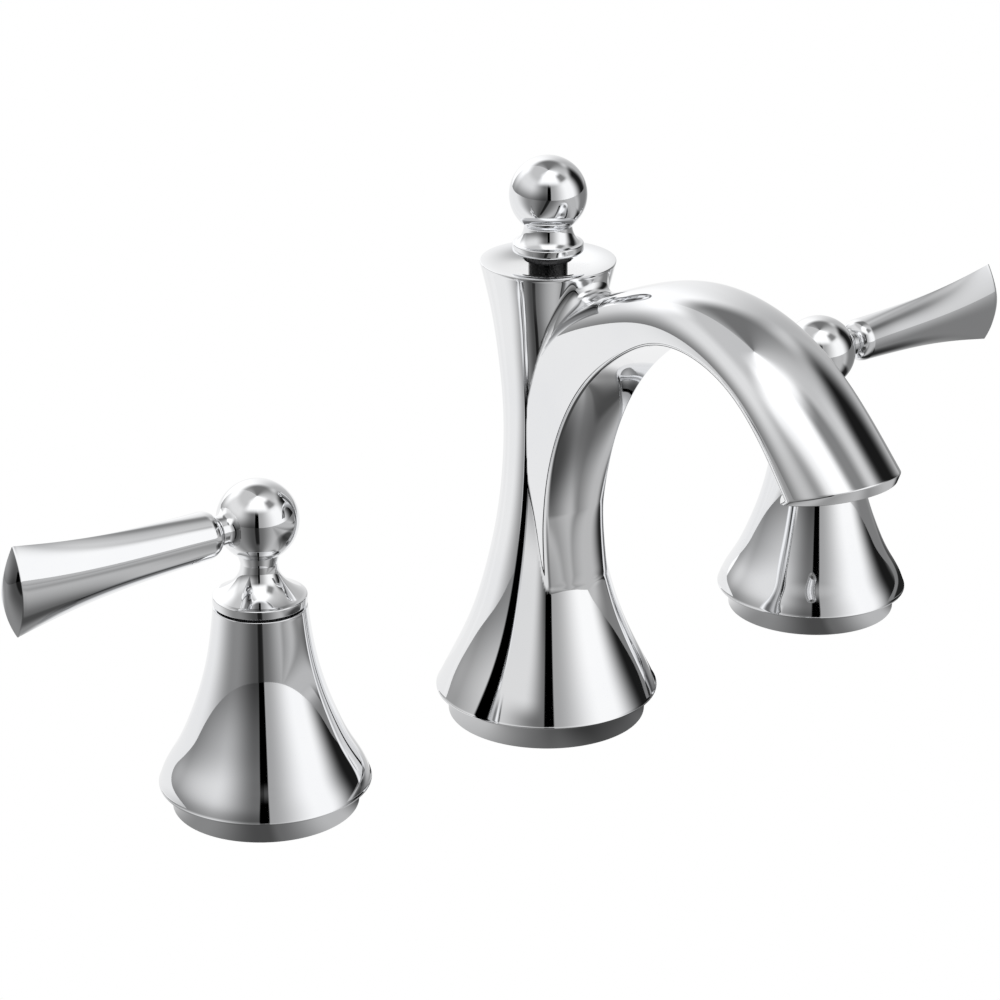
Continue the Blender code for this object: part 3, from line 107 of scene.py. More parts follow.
def evenSpline(values, shares):
    return spline(np.linspace(0, 1, len(values)), values, shares)[0]


def curve(stations, steps):
    # (radius, height) points along a smooth curve through a few stations, spaced by height
    radii, heights = np.array(stations, float).T
    where = np.linspace(heights[0], heights[-1], steps + 1)
    return np.stack([spline(heights, radii, where)[0], where], axis=1)


def ballOutline(radius, height, neckRadius, lift=0):
    # (radius, height) points on a ball from its neck to its top, started some degrees above the neck
    start = -math.degrees(math.acos(neckRadius / radius)) + lift
    angles = np.radians(np.linspace(start, 90, 91))
    points = np.stack([radius * np.cos(angles), height + radius * np.sin(angles)], axis=1)
    points[-1, 0] = 0
    return points


def flareOutline(steps, radii, heights, power):
    # (radius, height) points from a flare's wide end to its narrow one: the radius grows as a power of the way
    way = np.linspace(1, 0, steps)
    return np.stack([radii[0] + (radii[1] - radii[0]) * way ** power,
                     heights[0] + (heights[1] - heights[0]) * way], axis=1)


def rounded(first, corner, last, steps):
    # points on a quadratic curve between two ends, pulled towards a corner; steps run from nothing to one
    return (1 - steps) ** 2 * first + 2 * steps * (1 - steps) * corner + steps ** 2 * last


def outline(*parts, looped=False):
    # joins points and curves into one outline; a point's third number rounds its corner by that much
    flat = []
    for part in parts:
        rows = np.atleast_2d(np.array(part, float))
        flat += [(row[0], row[1], row[2] if len(row) > 2 else 0.0) for row in rows]
    points = np.array([item[:2] for item in flat])
    done = []
    for index, (radius, height, rounding) in enumerate(flat):
        here = points[index]
        if rounding == 0 or (not looped and index in (0, len(flat) - 1)):
            done.append(here[None])
            continue
        before, after = points[index - 1] - here, points[(index + 1) % len(flat)] - here
        reach = min(rounding, 0.49 * np.linalg.norm(before), 0.49 * np.linalg.norm(after))
        first, last = (here + way / np.linalg.norm(way) * reach for way in (before, after))
        done.append(rounded(first, here, last, np.linspace(0, 1, 7)[:, None]))
    return np.concatenate(done)


def rodOutline(radius, low, high):
    return outline((0, low), (radius, low), (radius, high), (0, high))


def skin(rings, looped=False):
    # faces between successive rings of points; a ring whose points all meet becomes one pole
    rings = np.asarray(rings, float)
    rows, sides = rings.shape[:2]
    poles = np.ptp(rings, axis=1).max(axis=1) < 1e-9
    starts = np.cumsum(np.concatenate([[0], np.where(poles, 1, sides)]))[:-1]
    index = starts[:, None] + np.where(poles[:, None], 0, np.arange(sides))
    points = np.concatenate([ring[:1] if pole else ring for ring, pole in zip(rings, poles)])
    low, high = (index, np.roll(index, -1, axis=0)) if looped else (index[:-1], index[1:])
    quads = np.stack([low, np.roll(low, -1, axis=1), np.roll(high, -1, axis=1), high], axis=2).reshape(-1, 4)
    flat = (quads[:, 0] == quads[:, 1]), (quads[:, 2] == quads[:, 3])
    triangles = np.concatenate([quads[flat[0] & ~flat[1]][:, (0, 2, 3)], quads[flat[1] & ~flat[0]][:, :3]])
    return points, quads[~flat[0] & ~flat[1]], triangles


def link(name, data):
    thing = bpy.data.objects.new(name, data)
    bpy.context.scene.collection.objects.link(thing)
    return thing


def addMesh(name, points, faces, sharpAngle=38):
    mesh = bpy.data.meshes.new(name)
    mesh.from_pydata(points, [], faces)
    mesh.shade_smooth()
    mesh.set_sharp_from_angle(angle=math.radians(sharpAngle))
    return link(name, mesh)


def addPiece(name, rings, looped=False, sharpAngle=38):
    # a closed mesh from rings in millimetres, its faces turned outwards
    points, quads, triangles = skin(rings, looped)
    halves = np.concatenate([quads[:, (0, 1, 2)], quads[:, (0, 2, 3)], triangles])
    a, b, c = ((points - points.mean(axis=0))[halves[:, corner]] for corner in range(3))
    if np.einsum("ij,ij->", a, np.cross(b, c)) < 0:
        quads, triangles = quads[:, ::-1], triangles[:, ::-1]
    return addMesh(name, (points * mm).tolist(), quads.tolist() + triangles.tolist(), sharpAngle)


def meshArray(items, key, width, kind=float):
    # a value of all points or edges, as rows of an array
    flat = np.empty(width * len(items), dtype=kind)
    items.foreach_get(key, flat)
    return flat.reshape(-1, width)


def sideAngles(sides):
    return (np.arange(sides) + 0.5) * 2 * np.pi / sides


def around(radii, heights, angles, place):
    # rings of points at radii and heights round an upright axis at a place
    rings = np.empty((len(heights), len(angles), 3))
    rings[..., 0] = place[0] + radii * np.cos(angles)
    rings[..., 1] = place[1] + radii * np.sin(angles)
    rings[..., 2] = heights
    return rings


def turnedRings(profile, sides, place=(0, 0)):
    # a profile of (radius, height) points carried round an upright axis at a place
    radii, heights = profile.T[..., None]
    return around(radii, heights, sideAngles(sides), place)


def turned(name, profile, sides=160, place=(0, 0)):
    return addPiece(name, turnedRings(profile, sides, place), profile[0, 0] > 0)


def combine(piece, other, operation):
    # an exact Boolean, applied; the other body is used up
    change = piece.modifiers.new(operation, "BOOLEAN")
    change.operation, change.object, change.solver = operation, other, "EXACT"
    bpy.context.view_layer.update()
    view = piece.evaluated_get(bpy.context.evaluated_depsgraph_get())
    mesh = bpy.data.meshes.new_from_object(view)
    piece.modifiers.clear()
    piece.data = mesh
    mesh.name = piece.name
    bpy.data.objects.remove(other)
    mesh.shade_smooth()


def lying(rings, height):
    # rings that stand on Z, laid along X at a height
    return np.stack([rings[..., 2], rings[..., 0], rings[..., 1] + height], axis=-1)


def carve(piece, profile, sides, place=(0, 0), height=None, operation="DIFFERENCE"):
    # takes a turned body out of a piece, or adds it; with a height it lies along X
    rings = turnedRings(profile, sides, place)
    combine(piece, addPiece("body", rings if height is None else lying(rings, height)), operation)


# The spout: a turned column and an arch, one casting with a soft joint between them

row = {"handleSpacing": 203.2, "rowOffset": 7.2, "handleSetback": 4.1}

column = {
    # (radius, height) stations of the flared side, from lip to flange
    "side": ((30.8, 7.6), (28.71, 12), (24.81, 20), (20.61, 30), (17.06, 42), (14.09, 56), (12.26, 72),
             (11.97, 88), (13.26, 104), (15.32, 118), (18.2, 130.9)),
    # (radius, height, rounding) corners below it, with the foot's pocket, and above it, with the bores
    "below": ((11.4, 7.4), (15.2, 7.4), (15.2, 27), (16.2, 29), (25, 12.4), (25, 7.4), (30.8, 7.4, 0.35),
              (30.8, 7.9, 0.2)),
    "above": ((18.2, 130.7, 0.3), (18.2, 131.2, 0.35), (5.3, 131.2), (5.3, 118.3), (4, 118.3), (4, 108), (8, 108),
              (8, 16.4), (11.4, 16.4)),
    "sideSpan": (8, 130.6), "bore": (8, 50, 108), "sideSteps": 150, "sides": 256,
}

arch = {
    "legFront": 10.9, "footHeight": 41.4, "peakHeight": 125.9, "outletFront": 108.1, "outletHeight": 98.8,
    "forward": (0, 0.0035, 0.063, 0.194, 0.33, 0.494, 0.76, 1),
    "rise": (0, 0.2225, 0.535, 0.7775, 0.907, 0.992, 0.946),
    "turnStart": 0.62, "outletSlope": 0.3,
    "footHalfWidth": 10.2, "outletHalfWidth": 17.6, "width": (0, 0.17, 0.35, 0.74, 1),
    "outletDepth": 15, "depth": (1.27, 1.4, 1.6, 1.54, 1.17, 0.885, 0.76, 0.83, 1),
    "squareness": (4, 4, 4, 3.6, 3.1, 2.6, 2.2, 2, 2),
    "outletBulge": 10.4, "bulge": (0.38, 0.3, 0.14, 0.08, 0.06, 0.12, 0.5, 0.9, 1),
    # where the foot spreads into the column's flare, and by how much at its lowest
    "flareTop": 64, "flareEnd": 43, "flareSoft": 0.4, "flareForward": 2.03, "flareWidth": 1.02, "footHidden": 2,
    "edgeRounding": 1.2, "lipSetback": 1.5, "lipDrop": 1.3, "lipSlope": 0.16, "lipRounding": 0.35,
    "stations": 210, "crownSteps": 46, "edgeSteps": 16, "underSteps": 16,
    "creaseBlend": 0.25, "rootBlend": 9, "rootHeights": (103, 118), "rootSides": (5, 12),
    "tuck": 1.2, "tuckSpan": (5.5, 2.5), "aeratorForward": 106.5, "aeratorBore": 7.7, "aeratorSeat": 105.3,
    "aeratorStart": 90, "aeratorSides": 96, "heart": 0.4, "cornerSpan": 0.16, "farthest": 60.0, "halvings": 44,
    "closing": (0.15, 0.4, 0.7, 1.0), "lipSteps": 6,
    # how the section that holds a point is looked for
    "coarseStep": 8, "planeRounds": 5, "planeShare": 0.8, "leastSpeed": 60,
}

settling = {
    # how the joint of column and arch is smoothed: sizes in millimetres, shares of the arch's length, and rounds
    "merge": 0.14, "mergeSpan": (102, 130.2), "mergeBehind": -30, "mergeRadius": 9, "stations": 1600,
    "step": 0.02, "endMargin": 0.5, "reach": 2.5, "onSkin": 0.05, "lastShare": 0.9, "rootFrom": 0.1,
    "topMargin": 1.5, "wide": 0.8, "rounds": 9, "evenRounds": 6, "evenTimes": 4, "evenShare": 0.6,
    "leastSlope": 0.2, "lastNormal": 0.993, "normalGap": 0.03, "agreement": 0.5,
}


def archTables(count):
    # the arch at even steps from foot to outlet: its inner line, the way to its crown, and its sizes
    shares = np.linspace(0, 1, count)
    rise = arch["peakHeight"] - arch["footHeight"]
    forward = arch["legFront"] + (arch["outletFront"] - arch["legFront"]) * np.array(arch["forward"])
    up = np.append(arch["footHeight"] + rise * np.array(arch["rise"]), arch["outletHeight"])
    travel = np.append(0, np.cumsum(np.hypot(np.diff(forward), np.diff(up))))
    knots = travel / travel[-1]
    lineForward, slopeForward = spline(knots, forward, shares)
    lineUp, slopeUp = spline(knots, up, shares)
    crown = np.stack([-slopeUp, slopeForward], axis=1)
    crown /= np.linalg.norm(crown, axis=1)[:, None]
    turn = smooth(np.clip((shares - arch["turnStart"]) / (1 - arch["turnStart"]), 0, 1))[:, None]
    crown = (1 - turn) * crown + turn * np.array((1, arch["outletSlope"]))
    crown /= np.linalg.norm(crown, axis=1)[:, None]
    spread = arch["outletHalfWidth"] - arch["footHalfWidth"]
    low = np.clip((arch["flareTop"] - lineUp) / (arch["flareTop"] - arch["flareEnd"]), 0, 1)
    flare = (1 + arch["flareSoft"]) * low * low / (low + arch["flareSoft"])
    lineForward = lineForward + arch["flareForward"] * flare
    return {
        "shares": shares, "line": np.stack([lineForward, lineUp], axis=1), "crown": crown,
        "travel": np.stack([slopeForward, slopeUp], axis=1),
        "width": arch["footHalfWidth"] + spread * evenSpline(arch["width"], shares) + arch["flareWidth"] * flare,
        "depth": arch["outletDepth"] * evenSpline(arch["depth"], shares),
        "squareness": evenSpline(arch["squareness"], shares),
        "bulge": arch["outletBulge"] * evenSpline(arch["bulge"], shares),
    }


sectionKeys = ("width", "depth", "squareness", "bulge")


def smooth(share):
    return share * share * (3 - 2 * share)


def softLarger(a, b, softness):
    # the larger of two distances, with the corner between them rounded
    mix = np.clip(0.5 + 0.5 * (a - b) / softness, 0, 1)
    return b + (a - b) * mix + softness * mix * (1 - mix)


def sectionDistance(side, out, sizes):
    # distance from a section's outline: |side/width|^n + |out/depth|^n = 1 above its corners, and a
    # parabola below them, with a rounded edge where they meet
    width, depth, power, bulge = sizes
    across, rise = np.abs(side) / width, np.maximum(out, 0) / depth
    total = np.maximum(across ** power + rise ** power, 1e-9)
    pull = total ** (1 / power - 1)
    slope = pull * np.hypot(across ** (power - 1) / width, rise ** (power - 1) / depth)
    crownGap = (total ** (1 / power) - 1) / np.maximum(slope, 1e-6)
    underGap = (-out - bulge * (1 - across ** 2)) / np.hypot(1, 2 * bulge * across / width)
    return softLarger(crownGap, underGap, arch["edgeRounding"])


def archGrid(tables):
    # each section's outline: how far it lies from the section's middle at each angle round it
    width, depth = tables["width"][:, None], tables["depth"][:, None]
    middle = arch["heart"] * depth
    corner = np.arctan2(-middle, width)
    near, half = arch["cornerSpan"], np.pi / 2 + 0 * corner
    stops = [(-half, corner - near, arch["underSteps"]), (corner - near, corner + near, arch["edgeSteps"]),
             (corner + near, half, arch["crownSteps"])]
    right = np.concatenate([low + (high - low) * np.linspace(0, 1, steps, endpoint=False)
                            for low, high, steps in stops], axis=1)
    angles = np.concatenate([right, half, np.pi - right[:, :0:-1]], axis=1)
    sizes = [tables[key][:, None] for key in sectionKeys]
    low, high = np.zeros_like(angles), np.full_like(angles, arch["farthest"])
    for _ in range(arch["halvings"]):
        reach = (low + high) / 2
        outside = sectionDistance(reach * np.cos(angles), middle + reach * np.sin(angles), sizes) > 0
        low, high = np.where(outside, low, reach), np.where(outside, reach, high)
    return reach * np.cos(angles), middle + reach * np.sin(angles)


def tuckedIn(forward):
    # how far the arch's sides draw in behind its joint, to stay inside the column
    start, end = arch["tuckSpan"]
    return arch["tuck"] * smooth(np.clip((start - forward) / (start - end), 0, 1))


def placeSection(side, out, corner, crown):
    place = corner[..., None, :] + out[..., None] * crown[..., None, :]
    side = side * (1 - tuckedIn(place[..., 0]) / arch["footHalfWidth"])
    return np.stack([side, -place[..., 0], place[..., 1]], axis=-1)


def archRings():
    # all sections, then a small rounding over the lip, and flat ends at outlet and foot
    tables = archTables(arch["stations"])
    side, out = archGrid(tables)
    rings = placeSection(side, out, tables["line"], tables["crown"])
    lipCrown = np.array((1, arch["lipSlope"])) / math.hypot(1, arch["lipSlope"])
    lipCorner = tables["line"][-1] - np.array((arch["lipSetback"], arch["lipDrop"]))
    lip = placeSection(side[-1], out[-1], lipCorner, lipCrown)
    edge, centre = rings[-1], lip.mean(axis=0)
    span = np.linalg.norm(lip - edge, axis=1)[:, None]
    reach = np.minimum(arch["lipRounding"], 0.45 * span)
    top, flat = (start + way / np.linalg.norm(way, axis=1)[:, None] * arch["lipRounding"]
                 for start, way in ((edge, rings[-2] - edge), (lip, centre - lip)))
    steps = np.linspace(0, 1, arch["lipSteps"])[:, None, None]
    upper = rounded(top, edge, edge + (lip - edge) / span * reach, steps)
    lower = rounded(lip + (edge - lip) / span * reach, lip, flat, steps)
    closing = [flat + (centre - flat) * share for share in arch["closing"]]
    foot = [np.broadcast_to(rings[0].mean(axis=0), lip.shape)]
    return np.concatenate([foot, rings[:-1], upper, lower, closing])


def columnGap(points):
    # distance from the column's flared side
    radii, heights = np.array(column["side"]).T
    radius, slope = spline(heights, radii, np.clip(points[:, 2], heights[0], heights[-1]))
    return (np.hypot(points[:, 0], points[:, 1]) - radius) / np.hypot(1, slope)


def nearShare(points, tables):
    # which station of the arch lies nearest to each point
    coarse = slice(None, None, arch["coarseStep"])
    heart = (tables["line"] + tables["crown"] * tables["depth"][:, None] * arch["heart"])[coarse]
    spot = np.stack([-points[:, 1], points[:, 2]], axis=1)
    apart = (spot ** 2).sum(axis=1)[:, None] - 2 * spot @ heart.T + (heart ** 2).sum(axis=1)
    return tables["shares"][coarse][apart.argmin(axis=1)]


def archGap(points, tables, share):
    # distance from the arch: the section plane that holds a point is found first, then the gap in it
    spot = np.stack([-points[:, 1], points[:, 2]], axis=1)

    def read(key):
        values = tables[key]
        if values.ndim == 1:
            return np.interp(share, tables["shares"], values)
        return np.stack([np.interp(share, tables["shares"], values[:, axis]) for axis in range(2)], axis=1)

    for _ in range(arch["planeRounds"]):
        up = read("crown")
        along = np.stack([up[:, 1], -up[:, 0]], axis=1)
        ahead = ((spot - read("line")) * along).sum(axis=1)
        speed = (read("travel") * along).sum(axis=1)
        share = np.clip(share + arch["planeShare"] * ahead / np.maximum(speed, arch["leastSpeed"]), 0, 1)
    out = ((spot - read("line")) * read("crown")).sum(axis=1)
    gap = sectionDistance(points[:, 0], out, [read(key) for key in sectionKeys]) + tuckedIn(spot[:, 0])
    return np.maximum(gap, arch["footHeight"] - arch["footHidden"] - points[:, 2]), share


def rootShare(points):
    # one on top of the arch's root, nothing below it and at its sides
    (low, high), (inner, outer) = arch["rootHeights"], arch["rootSides"]
    return (smooth(np.clip((points[:, 2] - low) / (high - low), 0, 1))
            * smooth(np.clip((np.abs(points[:, 0]) - outer) / (inner - outer), 0, 1)))


def castingGap(points, tables, share):
    # the smaller of the two distances, blended over a width that grows towards the top of the arch's root
    softness = arch["creaseBlend"] + (arch["rootBlend"] - arch["creaseBlend"]) * rootShare(points)
    return -softLarger(-columnGap(points), -archGap(points, tables, share)[0], softness)


def gapSlope(points, tables, share):
    step = settling["step"]
    ways = [castingGap(points + shift, tables, share) - castingGap(points - shift, tables, share)
            for shift in np.eye(3) * step]
    return np.stack(ways, axis=1) / (2 * step)


def cleanSeam(mesh):
    # joins the points that the Boolean leaves very close together near the joint
    s = named(settling)
    work = bmesh.new()
    work.from_mesh(mesh)
    span = [vertex for vertex in work.verts if s.mergeSpan[0] < vertex.co.z / mm < s.mergeSpan[1]
            and s.mergeBehind < vertex.co.y / mm < 0 and vertex.co.xy.length / mm > s.mergeRadius]
    bmesh.ops.remove_doubles(work, verts=span, dist=s.merge * mm)
    work.to_mesh(mesh)
    work.free()


def evenOut(points, edges, movable, rounds):
    # each point goes part of the way to the middle of its neighbours
    first, second = edges.T
    size = len(points)
    count = np.maximum(np.bincount(first, minlength=size) + np.bincount(second, minlength=size), 1)
    for _ in range(rounds):
        for axis in range(3):
            line = points[:, axis]
            total = np.bincount(first, line[second], size) + np.bincount(second, line[first], size)
            line[movable] += settling["evenShare"] * (total / count - line)[movable]


def settleCasting(piece):
    # moves the points near the joint onto the blended surface, and gives exact normals to both sides
    mesh = piece.data
    s = named(settling)
    cleanSeam(mesh)
    points = meshArray(mesh.vertices, "co", 3) / mm
    edges = meshArray(mesh.edges, "vertices", 2, int)
    tables = archTables(s.stations)
    lowest, highest = column["side"][0][1] + s.endMargin, column["side"][-1][1] - s.endMargin
    fromArch, share = archGap(points, tables, nearShare(points, tables))
    fromColumn = columnGap(points)
    reach = s.reach * arch["rootBlend"]
    between = (points[:, 2] > lowest) & (points[:, 2] < highest)
    onSkin = np.minimum(np.abs(fromArch), np.abs(fromColumn)) < s.onSkin
    near = np.flatnonzero(between & (share < s.lastShare) & onSkin & (fromArch < reach) & (fromColumn < reach))
    wide = near[(rootShare(points[near]) > s.rootFrom) & (points[near, 2] < highest - s.topMargin)]
    wide = wide[np.abs(fromArch[wide] - fromColumn[wide]) < s.wide * arch["rootBlend"]]
    for count in range(s.rounds):
        if count < s.evenRounds:
            evenOut(points, edges, wide, s.evenTimes)
        spots, guess = points[near], share[near]
        slope = gapSlope(spots, tables, guess)
        gap = castingGap(spots, tables, guess)
        points[near] = spots - slope * (gap / np.maximum((slope ** 2).sum(axis=1), s.leastSlope))[:, None]
    mesh.vertices.foreach_set("co", (points * mm).ravel())
    mesh.update()
    normals = meshArray(mesh.vertices, "normal", 3)
    exact = onSkin & (points[:, 2] > lowest) & (points[:, 2] < highest) & (share < s.lastNormal)
    exact[near] = True
    exact = np.flatnonzero(exact & (np.abs(castingGap(points, tables, share)) < s.normalGap))
    slope = gapSlope(points[exact], tables, share[exact])
    slope /= np.linalg.norm(slope, axis=1)[:, None]
    agree = (slope * normals[exact]).sum(axis=1) > s.agreement
    normals[exact[agree]] = slope[agree]
    mesh.normals_split_custom_set_from_vertices(normals.tolist())


def makeSpout():
    c = named(column)
    side = curve(c.side, c.sideSteps)
    side = side[(side[:, 1] > c.sideSpan[0]) & (side[:, 1] < c.sideSpan[1])]
    casting = turned("spoutCasting", outline(*c.below, side, *c.above, looped=True), c.sides)
    combine(casting, addPiece("archBody", archRings()), "UNION")
    outlet = rodOutline(arch["aeratorBore"], arch["aeratorStart"], arch["aeratorSeat"])
    carve(casting, outlet, arch["aeratorSides"], (0, -arch["aeratorForward"]))
    carve(casting, rodOutline(*c.bore), c.sides)
    settleCasting(casting)
    return casting


spoutCasting = makeSpout()
print("spout made:", len(spoutCasting.data.polygons), "faces")


# Turned pieces above the deck

ring = {
    "spout": {"radius": 27.4, "height": 7.1, "hole": 11.7}, "handle": {"radius": 24.6, "height": 6.4, "hole": 13.9},
    "wall": 2, "web": 3.3, "foot": 0.7, "edge": 0.25, "sides": 160,
}


def baseRing(name, radius, height, hole, place):
    inside = radius - ring["wall"]
    profile = outline((hole, ring["web"]), (inside, ring["web"]), (inside, 0), (radius, 0, ring["foot"]),
                      (radius, height, ring["edge"]), (hole, height), looped=True)
    return turned(name, profile, ring["sides"], place)


bell = {
    # (radius, height) stations of the flared side, from lip to top
    "side": ((28.0, 6.9), (26.86, 10), (23.49, 16), (19.75, 24), (16.52, 33), (13.88, 44), (12.28, 56.2)),
    "seat": 6.7, "top": 56.4, "edge": 0.3, "wall": 2.2, "footRadius": 22.5, "footTop": 8.9,
    "webBottom": 14, "webTop": 18, "webBore": 10.9, "glideRadius": 11.2, "glideSeat": 55, "bore": 9.2,
    "ceiling": 52.8, "sideStart": 0.5, "sideEnd": 0.4, "lip": 0.45, "fineEdge": 0.15, "sideSteps": 110, "sides": 224,
}


def makeBell(name, place):
    b = named(bell)
    lipRadius, topRadius = b.side[0][0], b.side[-1][0]
    side = curve(b.side, b.sideSteps)
    inner = side - np.array((b.wall, 0))
    upper = inner[(inner[:, 1] > b.webTop) & (inner[:, 1] < b.ceiling)][::-1]
    lower = inner[(inner[:, 1] > b.footTop) & (inner[:, 1] < b.webBottom)][::-1]
    side = side[(side[:, 1] > b.seat + b.sideStart) & (side[:, 1] < b.top - b.sideEnd)]
    profile = outline(
        (b.footRadius, b.seat), (lipRadius, b.seat, b.edge), (lipRadius, b.seat + b.lip, b.fineEdge), side,
        (topRadius, b.top, b.edge), (b.glideRadius, b.top, b.fineEdge), (b.glideRadius, b.glideSeat),
        (b.bore, b.glideSeat), (b.bore, b.ceiling), (upper[0][0], b.ceiling), upper, (b.webBore, b.webTop),
        (b.webBore, b.webBottom), (lower[0][0], b.webBottom), lower, (b.footRadius, b.footTop), looped=True)
    return turned(name, profile, b.sides, place)


hub = {"bottom": 57.1, "rimRadius": 12.3, "rimRound": 0.35, "rimTop": 59.4, "neckRadius": 4.8, "neckHeight": 68.3,
       "conePower": 2.4, "ballRadius": 10.7, "ballHeight": 79.9, "ballStart": 5.5, "bore": 3.2, "boreTop": 82.3,
       "socketRadius": 8.3, "socketTop": 60.1, "stubRoot": 5.3, "stubRootReach": 9.3, "stubNeck": 4,
       "stubNeckReach": 11.6, "stubReach": 13.2, "spigotRadius": 3.4, "spigotEnd": 23.2, "screwWay": 2.1,
       "screwWayStart": 0.4, "stubInside": 4, "neckRound": 0.8, "stubRound": 0.3, "spigotRound": 0.5,
       "coneSteps": 40, "stubSteps": 24, "stubPower": 2, "sides": 192, "stubSides": 128, "screwSides": 48}


def makeHub(name):
    # rim, concave cone, ball, and the stub that carries the lever
    h = named(hub)
    cone = flareOutline(h.coneSteps, (h.neckRadius, h.rimRadius - h.rimRound), (h.neckHeight, h.rimTop), h.conePower)
    ball = ballOutline(h.ballRadius, h.ballHeight, h.ballStart)
    profile = outline((0, h.boreTop), (h.bore, h.boreTop), (h.bore, h.socketTop), (h.socketRadius, h.socketTop),
                      (h.socketRadius, h.bottom), (h.rimRadius, h.bottom, h.rimRound),
                      (h.rimRadius, h.rimTop, h.rimRound), cone[1:-1], (h.neckRadius, h.neckHeight, h.neckRound),
                      ball)
    piece = turned(name, profile, h.sides)
    flare = flareOutline(h.stubSteps, (h.stubNeck, h.stubRoot), (h.stubNeckReach, h.stubRootReach), h.stubPower)
    stub = outline((0, h.stubInside), (h.stubRoot, h.stubInside), flare, (h.stubNeck, h.stubReach, h.stubRound),
                   (h.spigotRadius, h.stubReach), (h.spigotRadius, h.spigotEnd, h.spigotRound), (0, h.spigotEnd))
    carve(piece, stub, h.stubSides, height=h.ballHeight, operation="UNION")
    carve(piece, rodOutline(h.screwWay, h.screwWayStart, h.spigotEnd + 1), h.screwSides, height=h.ballHeight)
    return piece


lever = {
    # (reach, radius) stations of the rounded nose, then (reach, half height, half thickness) of the blade
    "nose": ((13.5, 3.9), (14.0, 4.75), (15.2, 5.8), (16.9, 6.25)),
    "blade": ((16.9, 6.25, 6.25), (25, 6.7, 5.75), (32, 7.1, 5.45), (45, 8.0, 4.95), (60, 9.8, 4.35),
              (72.8, 12.0, 3.8)),
    "lens": 2.0, "dome": 3.4, "edge": 0.3, "edgeOut": 0.12, "socketRadius": 3.7, "socketStart": 12,
    "socketEnd": 23.5, "screwReach": 15.8, "screwHole": 1.3, "screwDepth": 9,
    "around": 144, "noseSteps": 24, "bladeSteps": 90, "edgeSteps": 6, "domeSteps": 30, "socketSides": 96,
    "screwSides": 48,
}


def makeLever(name):
    # sections across the reach: an upright oval whose thickness falls as a power of the cosine, so that
    # it turns into a lens towards the tip; the tip is a shallow dome
    v = named(lever)
    angles = np.arange(v.around) * 2 * np.pi / v.around
    reach, height, thickness = np.array(v.blade).T
    stations = np.linspace(reach[0], reach[-1], v.bladeSteps)
    high, thick = (spline(reach, size, stations)[0] for size in (height, thickness))
    lens = 1 + (v.lens - 1) * (stations - reach[0]) / (reach[-1] - reach[0])
    noseReach, noseRadius = np.array(v.nose).T
    noseStations = np.linspace(noseReach[0], noseReach[-1], v.noseSteps)
    nose = spline(noseReach, noseRadius, noseStations)[0]
    bladeEnd = np.array((stations[-1], 1.0))
    edge = rounded(bladeEnd - (v.edge, 0), bladeEnd, bladeEnd + (v.edgeOut, -v.edge / high[-1]),
                   np.linspace(0, 1, v.edgeSteps)[:, None])
    share = np.linspace(edge[-1, 1], 0, v.domeSteps)
    dome = stations[-1] + v.edgeOut + (v.dome - v.edgeOut) * (1 - (share / share[0]) ** 2)
    tip = np.append(edge[:, 1], share[1:])
    reaches = np.concatenate([noseStations[:1], noseStations, stations[1:-1], edge[:, 0], dome[1:]])[:, None]
    highs, thicks = (np.concatenate([[0], nose, size[1:-1], size[-1] * tip])[:, None] for size in (high, thick))
    lenses = np.concatenate([np.ones(v.noseSteps + 1), lens[1:-1], np.full(len(tip), lens[-1])])[:, None]
    across = np.sign(np.cos(angles)) * np.abs(np.cos(angles)) ** lenses * thicks
    rings = np.stack([reaches + 0 * angles, across, hub["ballHeight"] + highs * np.sin(angles)], axis=2)
    piece = addPiece(name, rings)
    carve(piece, rodOutline(v.socketRadius, v.socketStart, v.socketEnd), v.socketSides, height=hub["ballHeight"])
    hole = rodOutline(v.screwHole, hub["ballHeight"] - v.screwDepth, hub["ballHeight"])
    carve(piece, hole, v.screwSides, (v.screwReach, 0))
    return piece


knob = {
    "bottom": 133.8, "rimRadius": 9.5, "rimTop": 136.1, "rimRound": 0.4,
    # (radius, height) stations of the flare between rim and ball
    "flare": ((8.6, 136.1), (8.2, 136.45), (7.2, 137.8), (6.6, 139.4), (6.4, 140.6)),
    "ballRadius": 10.4, "ballHeight": 149.15, "ballLift": 1.5, "bore": 2.5, "boreTop": 146.8,
    "flareSteps": 30, "sides": 192,
}


def makeKnob(name):
    k = named(knob)
    ball = ballOutline(k.ballRadius, k.ballHeight, k.flare[-1][0], k.ballLift)
    profile = outline((0, k.boreTop), (k.bore, k.boreTop), (k.bore, k.bottom), (k.rimRadius, k.bottom, k.rimRound),
                      (k.rimRadius, k.rimTop, k.rimRound), curve(k.flare, k.flareSteps)[1:], ball)
    return turned(name, profile, k.sides)


def shift(piece, way, turnRound=False):
    # moves a piece's points, after half a turn round the upright axis if asked
    turn = Matrix.Rotation(math.pi, 4, "Z") if turnRound else Matrix.Identity(4)
    piece.data.transform(Matrix.Translation(Vector((way[0], way[1], 0)) * mm) @ turn)
    return piece


def standsFor(piece, node, slot="chrome", body="root"):
    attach(piece, body)
    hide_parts(node)
    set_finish(piece, slot)


